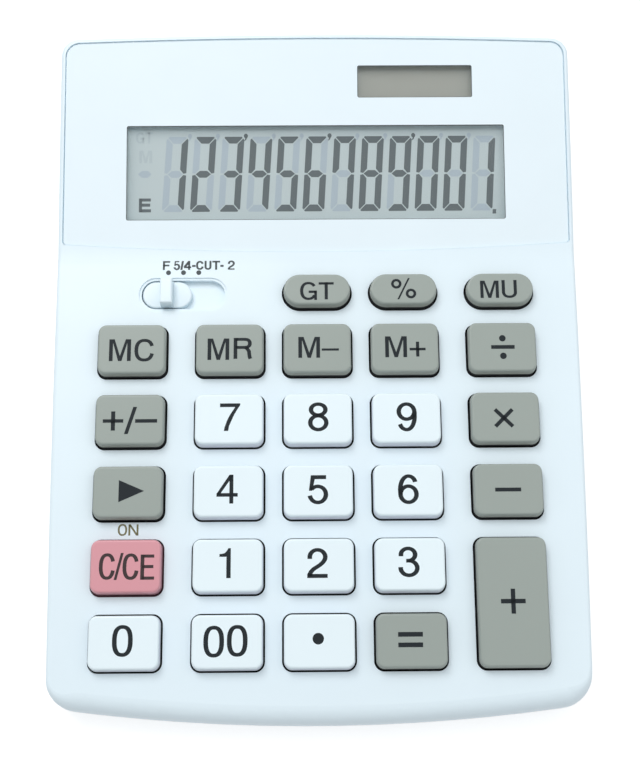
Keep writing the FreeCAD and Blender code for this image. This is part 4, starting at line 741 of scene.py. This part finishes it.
# display window: white print on the pane, with two clear openings given by their middle and half lengths
PANE_TOP = -0.4
PANE_BACK = -1.4
FLAT_WITHIN = 0.02
LCD_OPENING = (-0.02, 20.78, 47.2, 12.02)
SOLAR_OPENING = (24.99, 44.1, 14.41, 4.14)
OPENINGS = (LCD_OPENING, SOLAR_OPENING)
WINDOW_MIDDLE = Vector((0, 28))
PRINT_SHARE = 0.9985
BACK_LIFT = 0.01
BACK_GROWTH = 0.4
EDGE_LIFT = 0.02
EDGE_OUTSIDE = 0.02
EDGE_SHIFT = 0.08
EDGE_ACROSS = 0.16
EDGE_UPWARD = 0.18
EDGE_CORNER = 0.3


def opening(cx, cy, half_x, half_y, radius=0.45):
    """Corner points of an opening with round corners."""
    return [(x + cx, y + cy) for x, y, _ in rounded_ring(half_x, half_y, radius, 0.0, steps=3)]


def face_outline(node, place, height):
    """The outer edge of a node's flat face at one height of a tilted field, as points of that field."""
    back = place.inverted()
    data = nodes[node].data
    points = [back @ v.co for v in data.vertices]
    used = {}
    for face in data.polygons:
        if all(abs(points[i].z - height) < FLAT_WITHIN for i in face.vertices):
            for a, b in face.edge_keys:
                ends = tuple(sorted(((round(points[a].x, 3), round(points[a].y, 3)),
                                     (round(points[b].x, 3), round(points[b].y, 3)))))
                used[ends] = used.get(ends, 0) + 1
    after = {}
    for (a, b), count in used.items():
        if count == 1:
            after.setdefault(a, []).append(b)
            after.setdefault(b, []).append(a)
    first = max(after)
    loop, last = [first], None
    while True:
        step = [p for p in after[loop[-1]] if p != last]
        last = loop[-1]
        if step[0] == first or len(loop) > len(after):
            return loop
        loop.append(step[0])


def window_print(name, z, grow=0.0):
    """A sheet cut round the two openings, which grow to the sides and to the back."""
    outline = [WINDOW_MIDDLE + (Vector(p) - WINDOW_MIDDLE) * PRINT_SHARE
               for p in face_outline("display_window", DISPLAY, PANE_TOP)]
    holes = [opening(cx, cy + grow / 2, half_x + grow, half_y + grow / 2) for cx, cy, half_x, half_y in OPENINGS]
    mesh = bmesh.new()
    for loop in (outline, *holes):
        corners = [mesh.verts.new(DISPLAY @ Vector((x, y, z))) for x, y in loop]
        for a, b in zip(corners, corners[1:] + corners[:1]):
            mesh.edges.new((a, b))
    bmesh.ops.triangle_fill(mesh, edges=mesh.edges[:], use_beauty=True, use_dissolve=False, normal=(0, 0, 1))
    data = bpy.data.meshes.new(name)
    mesh.to_mesh(data)
    mesh.free()
    data.materials.append(print_white)
    obj = bpy.data.objects.new(name, data)
    bpy.context.scene.collection.objects.link(obj)
    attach(obj, "housing")
    return obj


def opening_shade_rings():
    """Painted shade round the edges of the two openings, dark and widest at the back."""
    verts, faces = [], []
    z = PANE_TOP + EDGE_LIFT
    for cx, cy, half_x, half_y in OPENINGS:
        outer = opening(cx, cy, half_x + EDGE_OUTSIDE, half_y + EDGE_OUTSIDE)
        inner = opening(cx, cy - EDGE_SHIFT, half_x - EDGE_ACROSS, half_y - EDGE_UPWARD, EDGE_CORNER)
        start, size = len(verts), len(outer)
        verts.extend((x, y, z) for x, y in outer + inner)
        for i in range(size):
            j = (i + 1) % size
            faces.append((start + i, start + j, start + size + j, start + size + i))
    add_object("window_edge_shade", verts, faces, DISPLAY, opening_shade, "housing", "adhesive_black")


window_print("window_print", PANE_TOP + INK_LIFT).visible_shadow = False
window_print("window_print_back", PANE_BACK + BACK_LIFT, BACK_GROWTH)
opening_shade_rings()


# twelve digit display: every digit has seven segments, lit or faint
SHOWN = "123456789001"
MARKS_AFTER = (2, 5, 8)
DIGIT_SEGMENTS = {
    "0": "abcdef", "1": "bc", "2": "abged", "3": "abgcd", "4": "fgbc", "5": "afgcd",
    "6": "afgedc", "7": "fabc", "8": "abcdefg", "9": "abfgcd",
}
LCD_FACE = -2.9
LCD_Z = LCD_FACE + 0.02
DIGIT_PITCH = 7.045
DIGIT_WIDTH = 5.5
DIGIT_HEIGHT = 19.3
DIGIT_BASE = 11.45
FIRST_DIGIT = -38.7
SLANT = 0.06
UPRIGHT = 1.62
LEVEL = 1.75
CHAMFER = 0.62
GAP = 0.16
MARK_ACROSS = 7.0
MARK_RISE = 0.2


def segment_shapes():
    """Outlines of the seven segments of a digit whose lower left corner is the origin."""
    w, h, m, t, s, c, g = DIGIT_WIDTH, DIGIT_HEIGHT, DIGIT_HEIGHT / 2, UPRIGHT, LEVEL, CHAMFER, GAP
    top = [(c, h), (w - c, h), (w - c / 2 - g, h - c / 2), (w - t - g, h - s), (t + g, h - s), (c / 2 + g, h - c / 2)]
    left = [(c / 2, h - c / 2 - g), (t, h - s - g), (t, m + s * 0.62 + g), (t * 0.45, m + g), (0.0, m + g + 0.15),
            (0.0, h - c - g)]
    level = [(t * 0.5, m), (t * 1.15, m + s / 2), (w - t * 1.15, m + s / 2), (w - t * 0.5, m),
             (w - t * 1.15, m - s / 2), (t * 1.15, m - s / 2)]

    def across(points):
        return [(w - x, y) for x, y in points][::-1]

    def below(points):
        return [(x, h - y) for x, y in points][::-1]

    return {"a": top, "b": across(left), "c": across(below(left)), "d": below(top),
            "e": below(left), "f": left, "g": level}


def add_shape(points, target):
    """A flat shape on the display, put into the lit or the faint mesh."""
    verts, faces = target
    faces.append(tuple(range(len(verts), len(verts) + len(points))))
    verts.extend((x, y, LCD_Z) for x, y in points)


def display_digits():
    """The twelve digits with their thousands marks and the point after the last, and the faint signs at the left."""
    shapes = segment_shapes()
    lit = ([], [])
    ghost = ([], [])
    for place, digit in enumerate(SHOWN):
        left = FIRST_DIGIT + place * DIGIT_PITCH
        for name, outline in shapes.items():
            shown = lit if name in DIGIT_SEGMENTS[digit] else ghost
            add_shape([(left + x + y * SLANT, DIGIT_BASE + y) for x, y in outline], shown)
        if place < len(SHOWN) - 1:
            comma(left + MARK_ACROSS, DIGIT_BASE + DIGIT_HEIGHT + MARK_RISE, lit if place in MARKS_AFTER else ghost)
    x = left + DIGIT_WIDTH
    add_shape([(x, 10.65), (x + 0.9, 10.65), (x + 1.0, 11.8), (x + 0.1, 11.8)], lit)
    letter("E", -44.45, 11.4, 3.05, 3.55, (0.78, 0.78), *lit, LCD_Z)
    letters = ([], [])
    letter("M", -44.45, 24.05, 3.25, 3.2, (0.7, 0.7), *letters, LCD_Z)
    letter("G", -45.3, 29.1, 2.1, 2.9, (0.5, 0.5), *letters, LCD_Z)
    letter("T", -43.0, 29.1, 2.0, 2.9, (0.5, 0.5), *letters, LCD_Z)
    add_object("lcd_faint_letters", *letters, DISPLAY, lcd_letters, "housing", "display_glass")
    add_shape([(-44.75, 21.15), (-43.7, 20.25), (-42.3, 20.25), (-41.3, 21.15), (-42.3, 22.05), (-43.7, 22.05)], ghost)
    add_object("lcd_lit_segments", *lit, DISPLAY, lcd_lit, "housing", "display_glass")
    add_object("lcd_faint_segments", *ghost, DISPLAY, lcd_ghost, "housing", "display_glass")


def comma(x, y, target):
    """A thousands mark at the top of the digits: a round head with a tail down to the left."""
    add_shape(ring(x, y, 0.52, 0.6, count=16), target)
    add_shape([(x + 0.5, y + 0.1), (x + 0.1, y - 1.0), (x - 0.45, y - 1.4), (x - 0.1, y - 0.5)][::-1], target)


display_digits()


# studio: pale floor, soft lamps, camera where the photograph was taken, lengths in metres
FLOOR_REACH = 3.0
FLOOR_COLOUR = (0.58, 0.59, 0.60, 1.0)
FLOOR_GLOW = 0.66
SKY_COLOUR = (0.95, 0.98, 1.0, 1.0)
SKY_STRENGTH = 0.57
WHITE = (1.0, 1.0, 1.0, 1.0)
LAMP_AIM = Vector((0, 0, 0.01))
CAMERA_LENS = 54.348
CAMERA_SENSOR = 36
CAMERA_PLACE = (-0.0017145, -0.0888012, 0.2878041)
CAMERA_TURN = (17.16292, -0.34285, -0.48265)
NEAREST_SEEN = 0.01


def seen_directly(tree):
    """1 for what the camera sees straight on, in a mirror or through glass, and 0 for light that falls on things."""
    ray = tree.nodes.new("ShaderNodeLightPath")
    total = ray.outputs["Is Camera Ray"]
    for name in ("Is Glossy Ray", "Is Transmission Ray"):
        add = tree.nodes.new("ShaderNodeMath")
        add.operation = "ADD"
        add.use_clamp = True
        tree.links.new(total, add.inputs[0])
        tree.links.new(ray.outputs[name], add.inputs[1])
        total = add.outputs["Value"]
    return total


def make_floor():
    """A floor that takes soft shadows and looks nearly white to the camera."""
    mesh = bpy.data.meshes.new("studio_floor")
    mesh.from_pydata([(x, y, 0) for x, y in block(-FLOOR_REACH, FLOOR_REACH, -FLOOR_REACH, FLOOR_REACH)], [],
                     [(0, 1, 2, 3)])
    floor = bpy.data.objects.new("studio_floor", mesh)
    bpy.context.scene.collection.objects.link(floor)
    material, tree, output = new_material("studio_floor")
    diffuse = tree.nodes.new("ShaderNodeBsdfDiffuse")
    diffuse.inputs["Color"].default_value = FLOOR_COLOUR
    glow = tree.nodes.new("ShaderNodeEmission")
    glow.inputs["Color"].default_value = WHITE
    level = tree.nodes.new("ShaderNodeMath")
    level.operation = "MULTIPLY"
    level.inputs[1].default_value = FLOOR_GLOW
    add = tree.nodes.new("ShaderNodeAddShader")
    tree.links.new(seen_directly(tree), level.inputs[0])
    tree.links.new(level.outputs["Value"], glow.inputs["Strength"])
    tree.links.new(diffuse.outputs["BSDF"], add.inputs[0])
    tree.links.new(glow.outputs["Emission"], add.inputs[1])
    tree.links.new(add.outputs["Shader"], output.inputs["Surface"])
    mesh.materials.append(material)


def make_world():
    """A dim bluish sky that lights the object, plain white where the camera sees it."""
    world = bpy.data.worlds.new("studio")
    bpy.context.scene.world = world
    world.use_nodes = True
    tree = world.node_tree
    tree.nodes.clear()
    output = tree.nodes.new("ShaderNodeOutputWorld")
    fill = tree.nodes.new("ShaderNodeBackground")
    fill.inputs["Color"].default_value = SKY_COLOUR
    fill.inputs["Strength"].default_value = SKY_STRENGTH
    white = tree.nodes.new("ShaderNodeBackground")
    white.inputs["Color"].default_value = WHITE
    white.inputs["Strength"].default_value = 1.0
    mix = tree.nodes.new("ShaderNodeMixShader")
    tree.links.new(seen_directly(tree), mix.inputs["Fac"])
    tree.links.new(fill.outputs["Background"], mix.inputs[1])
    tree.links.new(white.outputs["Background"], mix.inputs[2])
    tree.links.new(mix.outputs["Shader"], output.inputs["Surface"])


def add_lamp(name, place, size, power):
    """A square lamp that faces the object."""
    lamp = bpy.data.lights.new(name, "AREA")
    lamp.size = size
    lamp.energy = power
    obj = bpy.data.objects.new(name, lamp)
    obj.location = place
    obj.rotation_euler = (LAMP_AIM - obj.location).to_track_quat("-Z", "Y").to_euler()
    bpy.context.scene.collection.objects.link(obj)


def add_camera():
    """The camera as found from the photograph's key grid."""
    camera = bpy.data.cameras.new("camera")
    camera.lens = CAMERA_LENS
    camera.sensor_width = CAMERA_SENSOR
    camera.clip_start = NEAREST_SEEN
    eye = bpy.data.objects.new("camera", camera)
    eye.location = CAMERA_PLACE
    eye.rotation_euler = tuple(math.radians(turn) for turn in CAMERA_TURN)
    bpy.context.scene.collection.objects.link(eye)
    bpy.context.scene.camera = eye


make_floor()
make_world()
add_lamp("key_lamp", (-0.26, 0.42, 0.80), size=0.46, power=3.8)
add_lamp("fill_lamp", (0.45, 0.10, 0.75), size=0.6, power=1.0)
add_camera()
bpy.context.scene.view_settings.view_transform = "Standard"
